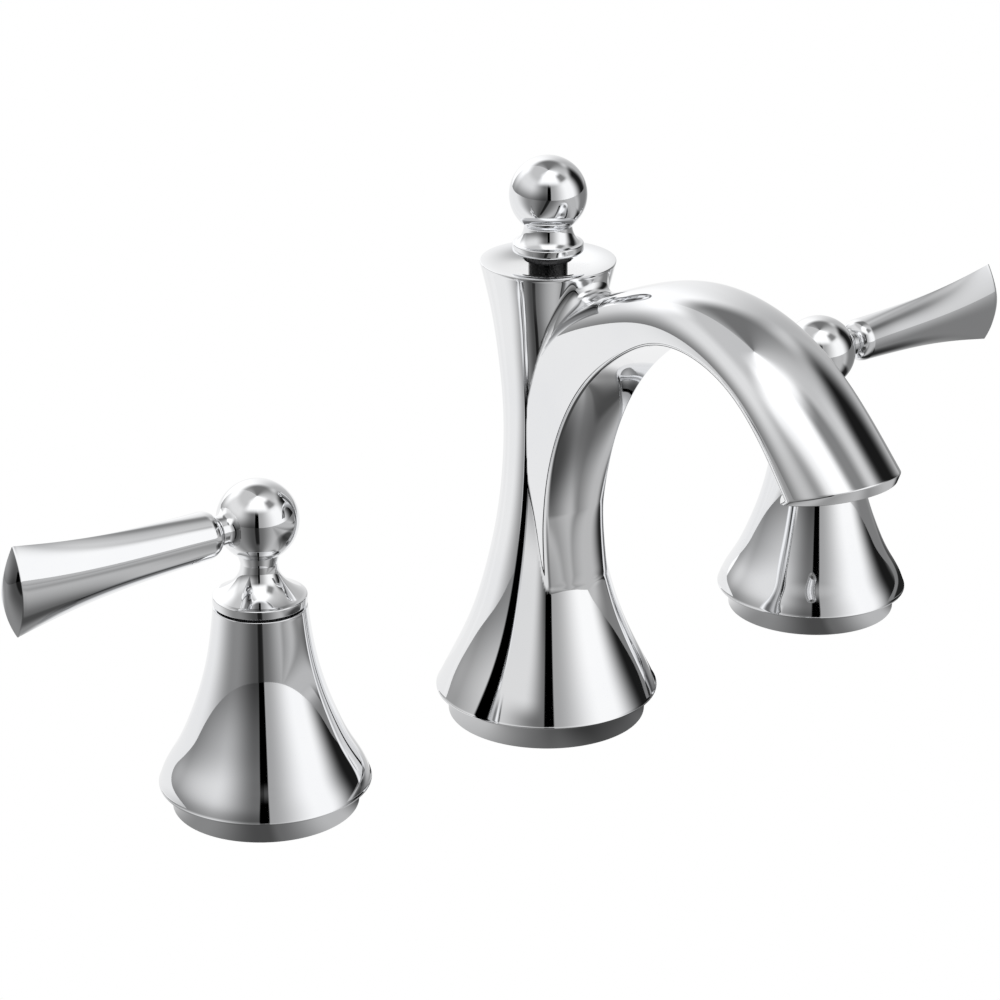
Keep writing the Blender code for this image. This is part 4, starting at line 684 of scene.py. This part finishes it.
# the handles: side, its direction along X, and the place of its axis
handles = [(side, way, (row["rowOffset"] + way * row["handleSpacing"] / 2, row["handleSetback"]))
           for side, way in (("left", -1), ("right", 1))]
standsFor(spoutCasting, "spout_body")
standsFor(baseRing("spoutRing", **ring["spout"], place=(0, 0)), "spout_base_ring")
standsFor(makeKnob("liftRodKnob"), "lift_knob", body="lift_rod_body")
for side, way, place in handles:
    handle = side + "_handle"
    standsFor(makeBell(side + "Bell", place), side + "_bell_escutcheon")
    standsFor(baseRing(side + "Ring", **ring["handle"], place=place), handle + "_base_ring")
    standsFor(shift(makeHub(side + "Hub"), place, way < 0), handle + "_hub", body=handle)
    standsFor(shift(makeLever(side + "Lever"), place, way < 0), side + "_lever", body=handle)
print("turned pieces and levers made")


# Small turned pieces above the deck


def tube(name, outer, inner, bottom, top, rounding=0.2, sides=96, place=(0, 0)):
    profile = outline((inner, bottom, rounding), (outer, bottom, rounding), (outer, top, rounding),
                      (inner, top, rounding), looped=True)
    return turned(name, profile, sides, place)


def grooved(radius, depth, pitch, heights):
    # (radius, height) points whose radius falls and rises with the height, as a cosine wave
    wave = 0.5 - 0.5 * np.cos(2 * np.pi * (heights - heights[0]) / pitch)
    return np.stack([radius - depth * wave, heights], axis=1)


# (radius, height, rounding) corners of the bushing, from its foot up to the flange
bushing = {"corners": ((2.5, 118.6, 0.2), (5, 118.6, 0.3), (5, 131.5), (6.5, 131.5), (6.5, 132.9, 0.35),
                       (2.5, 132.9, 0.2)), "sides": 96}
liftRod = {"radius": 2.2, "bottom": -118, "top": 146.5, "end": 0.5, "grooveStep": 1.4, "grooveDepth": 0.18,
           "grooved": (-116, -92, 0.175), "sides": 48}


def makeRod():
    # a plain rod whose foot is grooved, so that the drain linkage's clamp can grip it
    r = named(liftRod)
    grooves = grooved(r.radius, r.grooveDepth, r.grooveStep, np.arange(*r.grooved))
    profile = outline((0, r.bottom), (r.radius, r.bottom, r.end), grooves, (r.radius, r.top, r.end), (0, r.top))
    return turned("liftRod", profile, r.sides)


aerator = {"radius": 7.4, "bore": 6, "ledgeBore": 5, "bottom": 99.08, "ledgeTop": 100.68, "top": 103.68,
           "thread": 0.28, "pitch": 1.0, "rimEdge": 0.7, "rimHeight": 0.9, "slots": 12, "slotDepth": 0.45,
           "edge": 0.2, "rimRound": 0.25, "rimCut": 0.4, "threadStart": 1, "threadEnd": 0.4, "threadStep": 0.1,
           "sidesPerSlot": 12, "slotSides": 3, "screenBottom": 100.98, "screenTop": 101.98, "screenInset": 0.35,
           "screenRim": 0.5, "screenHalf": 0.3, "screenEdge": 0.1, "screenSides": 72, "wire": 0.24, "mesh": 0.9,
           "wireInset": 0.3, "wireSteps": 41}


def makeAeratorHousing():
    # the rim's underside has small key slots, worked into the ring's height round the axis
    a = named(aerator)
    heights = np.arange(a.bottom + a.threadStart, a.top - a.threadEnd, a.threadStep)
    profile = outline(
        (a.ledgeBore, a.bottom, a.edge), (a.radius - a.rimEdge, a.bottom), (a.radius, a.bottom, a.rimRound),
        (a.radius, a.bottom + a.rimHeight), grooved(a.radius, a.thread, a.pitch, heights),
        (a.radius, a.top, a.edge), (a.bore, a.top, a.edge), (a.bore, a.ledgeTop),
        (a.ledgeBore, a.ledgeTop, a.edge), looped=True)
    sides = a.sidesPerSlot * a.slots
    rings = turnedRings(profile, sides, (0, -arch["aeratorForward"]))
    slotted = (np.arange(sides) % a.sidesPerSlot < a.slotSides) & (profile[:, 0] < a.radius - a.rimCut)[:, None]
    low = slotted & (rings[..., 2] < a.bottom + a.slotDepth)
    rings[..., 2] = np.where(low, a.bottom + a.slotDepth, rings[..., 2])
    return addPiece("aeratorHousing", rings, True)


def makeAeratorScreen():
    # woven wires: each runs straight across the disc and rises and falls over the wires it crosses
    a = named(aerator)
    radius, middle, half = a.bore - a.screenInset, (a.screenBottom + a.screenTop) / 2, a.wire / 2
    place = (0, -arch["aeratorForward"])
    lines = np.arange(-6, 7) * a.mesh
    angles = np.arange(8) * np.pi / 4
    pieces = [tube("screenRim", radius, radius - a.screenRim, middle - a.screenHalf, middle + a.screenHalf,
                   a.screenEdge, a.screenSides, place)]
    for way in (0, 1):
        for number, offset in enumerate(lines[np.abs(lines) < radius - a.wireInset]):
            end = math.sqrt(radius ** 2 - offset ** 2)
            along = np.concatenate([[-end], np.linspace(-end, end, a.wireSteps), [end]])[:, None]
            lift = half * np.cos(np.pi * (along / a.mesh + number + way))
            thickness = np.full(along.shape, half)
            thickness[[0, -1]] = 0
            rings = np.stack([along + 0 * angles, offset + thickness * np.cos(angles),
                              middle + lift + thickness * np.sin(angles)], axis=2)
            pieces.append(addPiece("wire", rings[..., ((0, 1, 2), (1, 0, 2))[way]] + (*place, 0)))
    return joined("aeratorScreen", pieces)


def joined(name, pieces):
    # several closed bodies as one piece
    points, faces, start = [], [], 0
    for piece in pieces:
        points.append(meshArray(piece.data.vertices, "co", 3))
        faces += [[start + corner for corner in face.vertices] for face in piece.data.polygons]
        start += len(points[-1])
        bpy.data.objects.remove(piece)
    return addMesh(name, np.concatenate(points).tolist(), faces)


glide = {"outer": 10.9, "inner": 9.6, "bottom": 55.3, "top": 56.8}

rodBushing = turned("liftRodBushing", outline(*bushing["corners"], looped=True), bushing["sides"])
standsFor(rodBushing, "rod_bushing", "black_plastic")
standsFor(makeRod(), "lift_rod", body="lift_rod_body")
standsFor(makeAeratorHousing(), "aerator_housing", "white_plastic")
standsFor(makeAeratorScreen(), "aerator_screen", "stainless")
for side, way, place in handles:
    standsFor(tube(side + "GlideRing", **glide, place=place), side + "_glide_ring", "black_plastic")
print("bushing, rod, aerator and glide rings made")


# Under the deck: threaded shanks, nuts, washers, the mixing tee and the valve bodies

screw = {"pitch": 1.8, "stepsPerPitch": 10, "depth": 0.75, "crest": 1.25, "slant": 3.2, "sides": 72, "runOut": 1.5}


def screwRings(radius, bottom, top, endRound=0.6):
    # a screw thread: the radius falls and rises with the height, and the wave climbs a pitch each turn
    s = named(screw)
    angles = sideAngles(s.sides)
    heights = np.arange(bottom, top + 1e-6, s.pitch / s.stepsPerPitch)
    heights[-1] = top
    heights = heights[:, None]
    wave = (heights / s.pitch - angles / (2 * np.pi)) % 1
    cut = s.depth * np.clip(s.crest - np.abs(wave - 0.5) * s.slant, 0, 1)
    ends = np.clip(np.minimum(heights - bottom, top - heights) / s.runOut, 0, 1)
    radii = radius - cut * ends - endRound * (1 - np.clip((heights - bottom) / endRound, 0, 1))
    return around(radii, heights, angles, (0, 0))


def makeShank():
    # a threaded outside, then the outline up and over the top and down the bore
    s = named(shank)
    above = outline((s.radius, s.threadTop + 0.3), (s.radius, s.top, 0.3), (s.bore, s.top), (s.bore, s.bottom))
    outside = screwRings(s.radius, s.bottom, s.threadTop)
    return addPiece("spoutShank", np.concatenate([outside, turnedRings(above, screw["sides"])]), True)


nut = {"flatEdge": 0.4, "chamfer": 1.3, "chamferPower": 1.5, "sink": 0.6, "sides": 144, "sharpAngle": 25}


def hexagonNut(name, width, bore, bottom, top, place):
    # six flats: the reach at an angle is half the width over the cosine from the flat's middle; a cone
    # cuts the corners at both ends, and the bore has a shallow countersink
    n = named(nut)
    half, sector = width / 2, np.pi / 3
    angles = sideAngles(n.sides)
    flats = half / np.cos((angles + sector / 2) % sector - sector / 2)
    share = np.linspace(0, 1, 7)
    cone = half - n.flatEdge + (half / math.cos(sector / 2) - half + n.flatEdge) * share[:, None]
    outside, drop = np.minimum(flats, cone), n.chamfer * share ** n.chamferPower
    inside = np.array([bore, bore, bore + n.sink])[:, None] + 0 * flats
    radii = np.concatenate([inside, outside, outside[::-1], inside[2:]])
    heights = np.concatenate([[bottom + n.sink, top - n.sink, top], top - drop, bottom + drop[::-1], [bottom]])
    return addPiece(name, around(radii, heights[:, None], angles, place), True, n.sharpAngle)


nipple = {"radius": 6, "bore": 3.6, "way": 3, "barbs": 4, "barbStep": 3.4, "barbDrop": 0.9, "sides": 64,
          "waySides": 40}


def nippleProfile(root, reach):
    # barbs: the radius falls along each barb towards the end of the nipple, then steps out again
    n = named(nipple)
    points = [(n.bore, root), (n.radius - n.barbDrop, root)]
    for barb in range(n.barbs):
        start = reach - (n.barbs - barb) * n.barbStep
        points += [(n.radius - n.barbDrop, start), (n.radius, start + 0.5, 0.2),
                   (n.radius - n.barbDrop, start + n.barbStep - 0.1)]
    return outline(*points, (n.bore, reach), looped=True)


def sideWay(body, root, reach, wayEnds, height):
    # a barbed nipple along X on a body's side, and the way into it
    n = named(nipple)
    for name, profile, sides, operation in (("nipple", nippleProfile(root, abs(reach)), n.sides, "UNION"),
                                            ("sideWay", rodOutline(n.way, *wayEnds), n.waySides, "DIFFERENCE")):
        rings = lying(turnedRings(profile, sides), 0)
        rings[..., 0] *= math.copysign(1, reach)
        combine(body, addPiece(name, rings + (0, 0, height), name == "nipple"), operation)


under = {"deckUnderside": -20.3, "washer": 2, "gap": 0.3, "nut": 8, "washerRadius": 22}
shank = {"radius": 11.1, "bore": 8.5, "bottom": -66, "threadTop": 5.6, "top": 16.1, "nutWidth": 34}
tee = {
    # (radius, height, rounding) corners: the outside from foot to top, then the socket and the chamber
    "corners": ((4, -86.3, 0.3), (14.4, -86.3, 0.8), (14.4, -79.3, 0.6), (13.2, -77.9, 0.6), (13.2, -65.3, 0.6),
                (14.4, -63.9, 0.6), (14.4, -56, 0.8), (11.4, -56, 0.4), (11.4, -66.3), (8.5, -66.3),
                (8.5, -80.3), (4, -80.3)),
    "root": 11.45, "reach": 32, "wayEnds": (7.5, 15.4), "height": -73.3, "sides": 128,
}
sleeve = {"outer": 3.7, "inner": 2.8, "bottom": -88.3, "top": 118, "rounding": 0.3, "sides": 64}
valve = {"shankRadius": 13.3, "shankBottom": -56, "threadBottom": -38, "shankTop": 9.7, "inletRadius": 10.3,
         "inletBottom": -76, "inletBore": 6.4, "neckRadius": 10.6, "top": 27, "chamberRadius": 8.6,
         "chamberFloor": 10, "portOffset": 3.5, "portRadius": 2.2, "outletHeight": -46, "reach": 31,
         "nutWidth": 38, "portSides": 32}


def makeValve(side, way, place):
    # the inlet below, the threaded shank and the neck in one outline, then the side outlet and two ports
    v = named(valve)
    inside = outline((0, v.shankBottom), (v.inletBore, v.shankBottom), (v.inletBore, v.inletBottom))
    shoulder = outline((v.inletRadius, v.shankBottom), (v.shankRadius, v.shankBottom, 0.6),
                       (v.shankRadius, v.threadBottom - 0.3))
    above = outline((v.shankRadius, v.shankTop, 0.3), (v.neckRadius, v.shankTop), (v.neckRadius, v.top, 0.3),
                    (v.chamberRadius, v.top, 0.2), (v.chamberRadius, v.chamberFloor), (0, v.chamberFloor))
    inside, shoulder, above = (turnedRings(profile, screw["sides"]) for profile in (inside, shoulder, above))
    inlet = screwRings(v.inletRadius, v.inletBottom, v.shankBottom - 1.2)
    upper = screwRings(v.shankRadius, v.threadBottom, v.shankTop - 1, 0.001)
    body = addPiece(side + "ValveBody", np.concatenate([inside, inlet, shoulder, upper, above]))
    sideWay(body, v.shankRadius / 2, -v.reach, (v.portOffset - 0.7, v.shankRadius + 1), v.outletHeight)
    for offset, bottom in ((-v.portOffset, v.outletHeight - 1), (v.portOffset, v.shankBottom - 1)):
        carve(body, rodOutline(v.portRadius, bottom, v.chamberFloor + 1), v.portSides, (offset, 0))
    return shift(body, place, way < 0)


def makeTee():
    t = named(tee)
    body = turned("mixingTee", outline(*t.corners, looped=True), t.sides)
    for way in (-1, 1):
        sideWay(body, t.root, way * t.reach, t.wayEnds, t.height)
    return body


def underDeck(prefix, stem, bore, nutWidth, place):
    u = named(under)
    top = u.deckUnderside
    washer = tube(stem + "Washer", u.washerRadius, bore, top - u.washer, top, 0.5, place=place)
    standsFor(washer, prefix + "_mounting_washer", "rubber")
    nutTop = top - u.washer - u.gap
    fastener = hexagonNut(stem + "Nut", nutWidth, bore, nutTop - u.nut, nutTop, place)
    standsFor(fastener, prefix + "_mounting_nut", "brass")


standsFor(makeShank(), "spout_shank", "brass")
standsFor(makeTee(), "mixing_tee", "brass")
standsFor(tube("rodSleeve", **sleeve), "rod_sleeve", "brass")
underDeck("spout", "spout", shank["radius"] + 0.3, shank["nutWidth"], (0, 0))
for side, way, place in handles:
    underDeck(side + "_handle", side, valve["shankRadius"] + 0.3, valve["nutWidth"], place)
    standsFor(makeValve(side, way, place), side + "_valve_body", "brass")
print("shanks, nuts, washers, tee and valves made")


# Materials. Arithmetic on a Wire adds Math nodes; every other node comes from Nodes.add


class Wire:
    def __init__(self, socket):
        self.socket = socket

    def math(self, operation, other=None, flip=False):
        inputs = [self] if other is None else [other, self] if flip else [self, other]
        return Nodes(self.socket.id_data).add("ShaderNodeMath", {"operation": operation}, dict(enumerate(inputs)))

    def __add__(self, other):
        return self.math("ADD", other)

    def __sub__(self, other):
        return self.math("SUBTRACT", other)

    def __rsub__(self, other):
        return self.math("SUBTRACT", other, True)

    def __mul__(self, other):
        return self.math("MULTIPLY", other)

    def __pow__(self, other):
        return self.math("POWER", other)

    __radd__, __rmul__ = __add__, __mul__


class Nodes:
    def __init__(self, tree):
        self.tree = tree

    def add(self, kind, settings=None, inputs=None, output=0):
        # a node of this type, its settings first, then its sockets' values or links; gives one output
        node = self.tree.nodes.new(kind)
        for key, value in (settings or {}).items():
            setattr(node, key, value)
        for key, value in (inputs or {}).items():
            if isinstance(value, Wire):
                self.tree.links.new(value.socket, node.inputs[key])
            else:
                node.inputs[key].default_value = value
        return Wire(node.outputs[output]) if len(node.outputs) else node

    def axes(self, place):
        return [self.add("ShaderNodeSeparateXYZ", None, {0: place}, axis) for axis in range(3)]

    def mask(self, value, span):
        # a smooth rise from nothing at the first number to one at the second, or a fall where the first is
        # the larger one; with four numbers a rise and then a fall
        if len(span) == 4:
            return self.mask(value, span[:2]) * self.mask(value, span[:1:-1])
        ends = {0: value, 1: min(span), 2: max(span), 3: 0.0, 4: 1.0}
        rise = self.add("ShaderNodeMapRange", {"interpolation_type": "SMOOTHSTEP"}, ends)
        return rise if span[0] < span[1] else 1 - rise

    def paint(self, rows, *values):
        # the first row is the brightness to start from; each other row adds an amount or dims by a share
        # of it, inside its spans of the values
        light = rows[0]
        for change, amount, *spans in rows[1:]:
            for value, span in zip(values, spans):
                amount = self.mask(value, span) * amount if span else amount
            light = light + amount if change == "add" else light * (1 - amount)
        return light

    def blend(self, factor, first, second):
        # a colour between two, through Mix
        inputs = {0: factor, 6: first, 7: second}
        return self.add("ShaderNodeMix", {"data_type": "RGBA"}, inputs, 2)

    def noise(self, place, scale, detail=3.0, stretch=None):
        # smooth noise, at a scale in cells to the metre
        if stretch:
            place = self.add("ShaderNodeVectorMath", {"operation": "MULTIPLY"}, {0: place, 1: stretch})
        return self.add("ShaderNodeTexNoise", None, {"Vector": place, "Scale": scale, "Detail": detail})


finishes = {
    # base colour, second colour, roughness, its variation, and the size of the surface's own grain
    "chrome": {"colour": (0.89, 0.895, 0.905), "other": (0.86, 0.868, 0.885), "roughness": 0.025, "smudge": 0.02,
               "smudgeScale": 24},
    "brass": {"colour": (0.76, 0.56, 0.27), "other": (0.62, 0.43, 0.19), "roughness": 0.24, "smudge": 0.16,
              "smudgeScale": 90, "latheScale": 5200, "latheHeight": 0.00002},
    "stainless": {"colour": (0.66, 0.66, 0.67), "other": (0.54, 0.54, 0.56), "roughness": 0.22, "smudge": 0.14,
                  "smudgeScale": 160, "latheScale": 7000, "latheHeight": 0.00001},
    "rubber": {"colour": (0.028, 0.028, 0.031), "other": (0.05, 0.049, 0.048), "roughness": 0.62, "smudge": 0.2,
               "smudgeScale": 300, "grainScale": 2600, "grainHeight": 0.00006},
    "black_plastic": {"colour": (0.035, 0.035, 0.038), "other": (0.055, 0.055, 0.058), "roughness": 0.16,
                      "smudge": 0.1, "smudgeScale": 240, "grainScale": 3800, "grainHeight": 0.00002},
    "white_plastic": {"colour": (0.76, 0.76, 0.73), "other": (0.69, 0.69, 0.66), "roughness": 0.36, "smudge": 0.12,
                      "smudgeScale": 200, "grainScale": 3800, "grainHeight": 0.00002},
    "ceramic": {"colour": (0.88, 0.87, 0.84), "other": (0.8, 0.78, 0.74), "roughness": 0.16, "smudge": 0.1,
                "smudgeScale": 500, "grainScale": 9000, "grainHeight": 0.00001},
}


# the spans of noise that show as drift and smudges, and how strongly the fine rings and the grain show
surface = {"drift": (0.35, 0.7), "smudges": (0.4, 0.75), "smudgeShare": 0.6, "latheRoughness": 0.12, "bump": 0.6}


def makeFinish(name):
    # colour and roughness drift with soft noise; turned metal has fine rings by height, moulded parts a grain
    values = finishes[name]
    material = bpy.data.materials.new(name)
    material.use_nodes = True
    shader = material.node_tree.nodes["Principled BSDF"]
    nodes = Nodes(material.node_tree)
    place = nodes.add("ShaderNodeTexCoord", None, None, 3)
    drift = nodes.noise(place, values["smudgeScale"], 4.0)
    colour = nodes.blend(nodes.mask(drift, surface["drift"]), (*values["colour"], 1), (*values["other"], 1))
    smudges = nodes.noise(place, values["smudgeScale"] * surface["smudgeShare"], 5.0)
    roughness = nodes.mask(smudges, surface["smudges"]) * values["smudge"]
    height, strength = None, 0.0
    if "latheScale" in values:
        upright = nodes.add("ShaderNodeCombineXYZ", None, {2: nodes.axes(place)[2]})
        rings = nodes.noise(upright, values["latheScale"], 2.0)
        roughness = roughness + rings * surface["latheRoughness"]
        height, strength = rings, values["latheHeight"]
    if "grainScale" in values:
        height, strength = nodes.noise(place, values["grainScale"], 3.0), values["grainHeight"]
    links = material.node_tree.links
    links.new(colour.socket, shader.inputs["Base Color"])
    links.new((roughness + values["roughness"]).socket, shader.inputs["Roughness"])
    shader.inputs["Metallic"].default_value = float(name in ("chrome", "brass", "stainless"))
    if height:
        bump = nodes.add("ShaderNodeBump", None, {"Strength": surface["bump"], "Distance": strength, "Height": height})
        links.new(bump.socket, shader.inputs["Normal"])
    return material


materials = {name: makeFinish(name) for name in finishes}
slots = {part["node"]: part["material_slot"] for part in frame["record"]["subparts"]}
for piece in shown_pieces():
    finish = piece.get("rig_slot") or slots[piece["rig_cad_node"]]
    piece.data.materials.clear()
    piece.data.materials.append(materials[finish])
print("materials made")


# Floor, studio light and camera

studio = {
    # Each list gives a brightness by direction: where it starts, then rows that add an amount or dim it by a
    # share, inside a span of bearings and a span of elevations. Bearings are in degrees from straight ahead
    # (-Y), positive towards +X. Two numbers are a rise or a fall, four are a rise and then a fall.
    "left": (0.76, ("add", -0.54, (-100, -48)), ("add", 0.24, (-146, -166)), ("dim", 0.68, None, (30, -8))),
    "right": (0.42, ("add", 0.5, (-32, 20)), ("dim", 0.985, (35, 74)), ("dim", 0.4, None, (32, 55)),
              ("add", 0.014)),
    "join": (-38.2, -37.8),
    "round": (("add", 0.5, (84, 108)), ("add", 0.45, (110, 155)), ("add", 0.55, (40, 60, 95, 118), (32, 52)),
              ("dim", 1, (-44, -42.5, -33.5, -32), (46, 30))),
    "dome": (0.6, ("add", -0.36, (60, 125)), ("add", 0.2, (148, 185)), ("add", 0.42, (-110, -60, 20, 70), (58, 72))),
    "domeSpan": (38, 56),
    "over": (("add", 0.42, (-94, -66, -8, 14), (34, 48, 60, 74)), ("dim", 0.5, (2, 20, 32, 50), (40, 48, 58, 68))),
    "contrast": 1.3, "gain": 1.17,
}
floorLook = {
    # the floor as the pieces mirror it, with painted shade and painted reflections of the studio: its brightness goes
    # by bearing round the nearest stand, by X, by the way out from the stand and by the way from the middle of a
    # painted shadow under the arch
    "size": 2.4, "drop": 0.05, "stands": (-94.4, 0, 108.8), "edges": ((-75, -25), (30, 80)), "shade": (5, -65),
    "left": (0.32, ("add", -0.2, (-90, -48)), ("add", 0.5, (-98, -156))),
    "right": (0.2, ("add", 0.34, (-32, 15)), ("dim", 0.93, (28, 66))),
    "join": (-40, -30),
    "round": (("add", 0.8, (92, 142)), ("add", 0.26, (-140, -100, -30, -5), (-110, -60, 30, 80)),
              ("dim", 0.75, (-46, -42, -35, -31), None, (55, 85)), ("dim", 0.8, None, None, None, (85, 25)),
              ("add", 0.24, (30, 48, 96, 120), (205, 240))),
}


def bearing(nodes, x, y):
    # degrees round from straight ahead, positive towards +X
    return nodes.add("ShaderNodeMath", {"operation": "ARCTAN2"}, {0: x, 1: y * -1.0}) * math.degrees(1)


def roundLight(nodes, look, *values):
    # the brightness left and right of the join, and what changes all the way round
    left, right = (nodes.paint(look[side], *values) for side in ("left", "right"))
    ahead = nodes.mask(values[0], look["join"])
    return nodes.paint((left * (1 - ahead) + right * ahead, *look["round"]), *values)


def contrasted(light):
    return light ** studio["contrast"] * studio["gain"]


def lightMaterial(mesh, name):
    # a bare material on a mesh: its nodes, and the place on the surface in millimetres
    material = bpy.data.materials.new(name)
    material.use_nodes = True
    material.node_tree.nodes.clear()
    mesh.materials.append(material)
    nodes = Nodes(material.node_tree)
    return nodes, [axis * 1000 for axis in nodes.axes(nodes.add("ShaderNodeTexCoord", None, None, 3))]


def makeStudio():
    # a tent with a black gap by the camera, panels left and right, a lit back, a dark side and a grey dome
    world = bpy.data.worlds.new("studio")
    bpy.context.scene.world = world
    world.use_nodes = True
    nodes = Nodes(world.node_tree)
    x, y, z = nodes.axes(nodes.add("ShaderNodeTexCoord", None, None, 0))
    turn, rise = bearing(nodes, x, y), z.math("ARCSINE") * math.degrees(1)
    over = nodes.mask(rise, studio["domeSpan"])
    light = roundLight(nodes, studio, turn, rise) * (1 - over) + nodes.paint(studio["dome"], turn, rise) * over
    light = contrasted(nodes.paint((light, *studio["over"]), turn, rise))
    seen = nodes.add("ShaderNodeLightPath")
    strength = nodes.add("ShaderNodeMix", {"data_type": "FLOAT"}, {0: seen, 2: light, 3: 1.0})
    background = world.node_tree.nodes["Background"]
    world.node_tree.links.new(strength.socket, background.inputs["Strength"])
    background.inputs["Color"].default_value = (1, 1, 1, 1)


def makeFloor():
    # a pale sheet at the deck's height; its underside is clear, so that the parts below can be seen. The camera sees
    # it evenly pale, and the chrome mirrors painted shade on it
    f = named(floorLook)
    corners = [(x, y, -f.drop * mm) for x, y in ((-f.size, -f.size), (f.size, -f.size), (f.size, f.size),
                                                 (-f.size, f.size))]
    floor = addMesh("floor", corners, [(0, 1, 2, 3)])
    nodes, (x, y, _) = lightMaterial(floor.data, "floor")
    toSpout, toRight = (nodes.mask(x, edge) for edge in f.edges)
    leftStand, spoutStand, rightStand = f.stands
    stand = toSpout * (spoutStand - leftStand) + toRight * (rightStand - spoutStand) + leftStand
    out, away = (((x - middle) ** 2 + (y - back) ** 2) ** 0.5 for middle, back in ((stand, 0), f.shade))
    # painted shade: as the chrome mirrors it, the floor glows grey by position, darker round a painted shadow under
    # the arch
    shade = contrasted(roundLight(nodes, floorLook, bearing(nodes, x - stand, y), x, out, away))
    grey = nodes.add("ShaderNodeEmission", None, {"Strength": shade})
    pale = nodes.add("ShaderNodeEmission", None, {"Strength": 1.0})
    seen = nodes.add("ShaderNodeLightPath")
    top = nodes.add("ShaderNodeMixShader", None, {0: seen, 1: grey, 2: pale})
    below = nodes.add("ShaderNodeNewGeometry", None, None, 6)
    clear = nodes.add("ShaderNodeBsdfTransparent")
    both = nodes.add("ShaderNodeMixShader", None, {0: below, 1: top, 2: clear})
    nodes.add("ShaderNodeOutputMaterial", None, {0: both})


card = {
    # a curved sheet left of the spout, with a bright card for its foot and a black strip for its left side;
    # each area is a brightness, a span of bearings round the spout, and a span of heights
    "radius": 45, "steps": 40, "turn": (-96, -41.5), "heights": (6, 90),
    "areas": ((0.78, (-83, -80, -60, -41.5), (16, 24, 50, 66)), (0.0, (-96, -94, -84.5, -82), (6, 10, 76, 90))),
}


def makeCard():
    # part of a cylinder round the spout, clear but for both areas on its inner side; the camera doesn't see it
    angles = np.radians(np.linspace(*card["turn"], card["steps"] + 1))
    ring = np.stack([np.sin(angles), -np.cos(angles)], axis=1) * card["radius"]
    points = [(x * mm, y * mm, height * mm) for height in card["heights"] for x, y in ring]
    count = len(angles)
    piece = addMesh("card", points, [(i, i + count, i + count + 1, i + 1) for i in range(count - 1)])
    piece.visible_camera = False
    nodes, (x, y, z) = lightMaterial(piece.data, "card")
    turn = bearing(nodes, x, y)
    inside = 1 - nodes.add("ShaderNodeNewGeometry", None, None, 6)
    look = nodes.add("ShaderNodeBsdfTransparent")
    for light, turnSpan, heightSpan in card["areas"]:
        share = nodes.mask(turn, turnSpan) * nodes.mask(z, heightSpan) * inside
        glow = nodes.add("ShaderNodeEmission", None, {"Strength": light})
        look = nodes.add("ShaderNodeMixShader", None, {0: share, 1: look, 2: glow})
    nodes.add("ShaderNodeOutputMaterial", None, {0: look})


makeStudio()
makeFloor()
makeCard()
bpy.context.scene.view_settings.view_transform = "Standard"


# Camera at the photograph's viewing angle, for a square picture

view = {"place": (-547.46, -628.39, 391.25), "azimuth": -40.177, "elevation": 21.537, "roll": -0.104, "lens": 117.83}


def makeCamera():
    v = named(view)
    azimuth, elevation, roll = (math.radians(angle) for angle in (v.azimuth, v.elevation, v.roll))
    back = Vector((math.sin(azimuth) * math.cos(elevation), -math.cos(azimuth) * math.cos(elevation),
                   math.sin(elevation)))
    right = Vector((math.cos(azimuth), math.sin(azimuth), 0))
    across = right * math.cos(roll) + back.cross(right) * math.sin(roll)
    turn = Matrix((across, back.cross(across), back)).transposed().to_4x4()
    camera = link("camera", bpy.data.cameras.new("camera"))
    camera.matrix_world = Matrix.Translation(Vector(v.place) * mm) @ turn
    camera.data.lens, camera.data.sensor_width, camera.data.clip_end = v.lens, 36, 20
    bpy.context.scene.camera = camera


makeCamera()
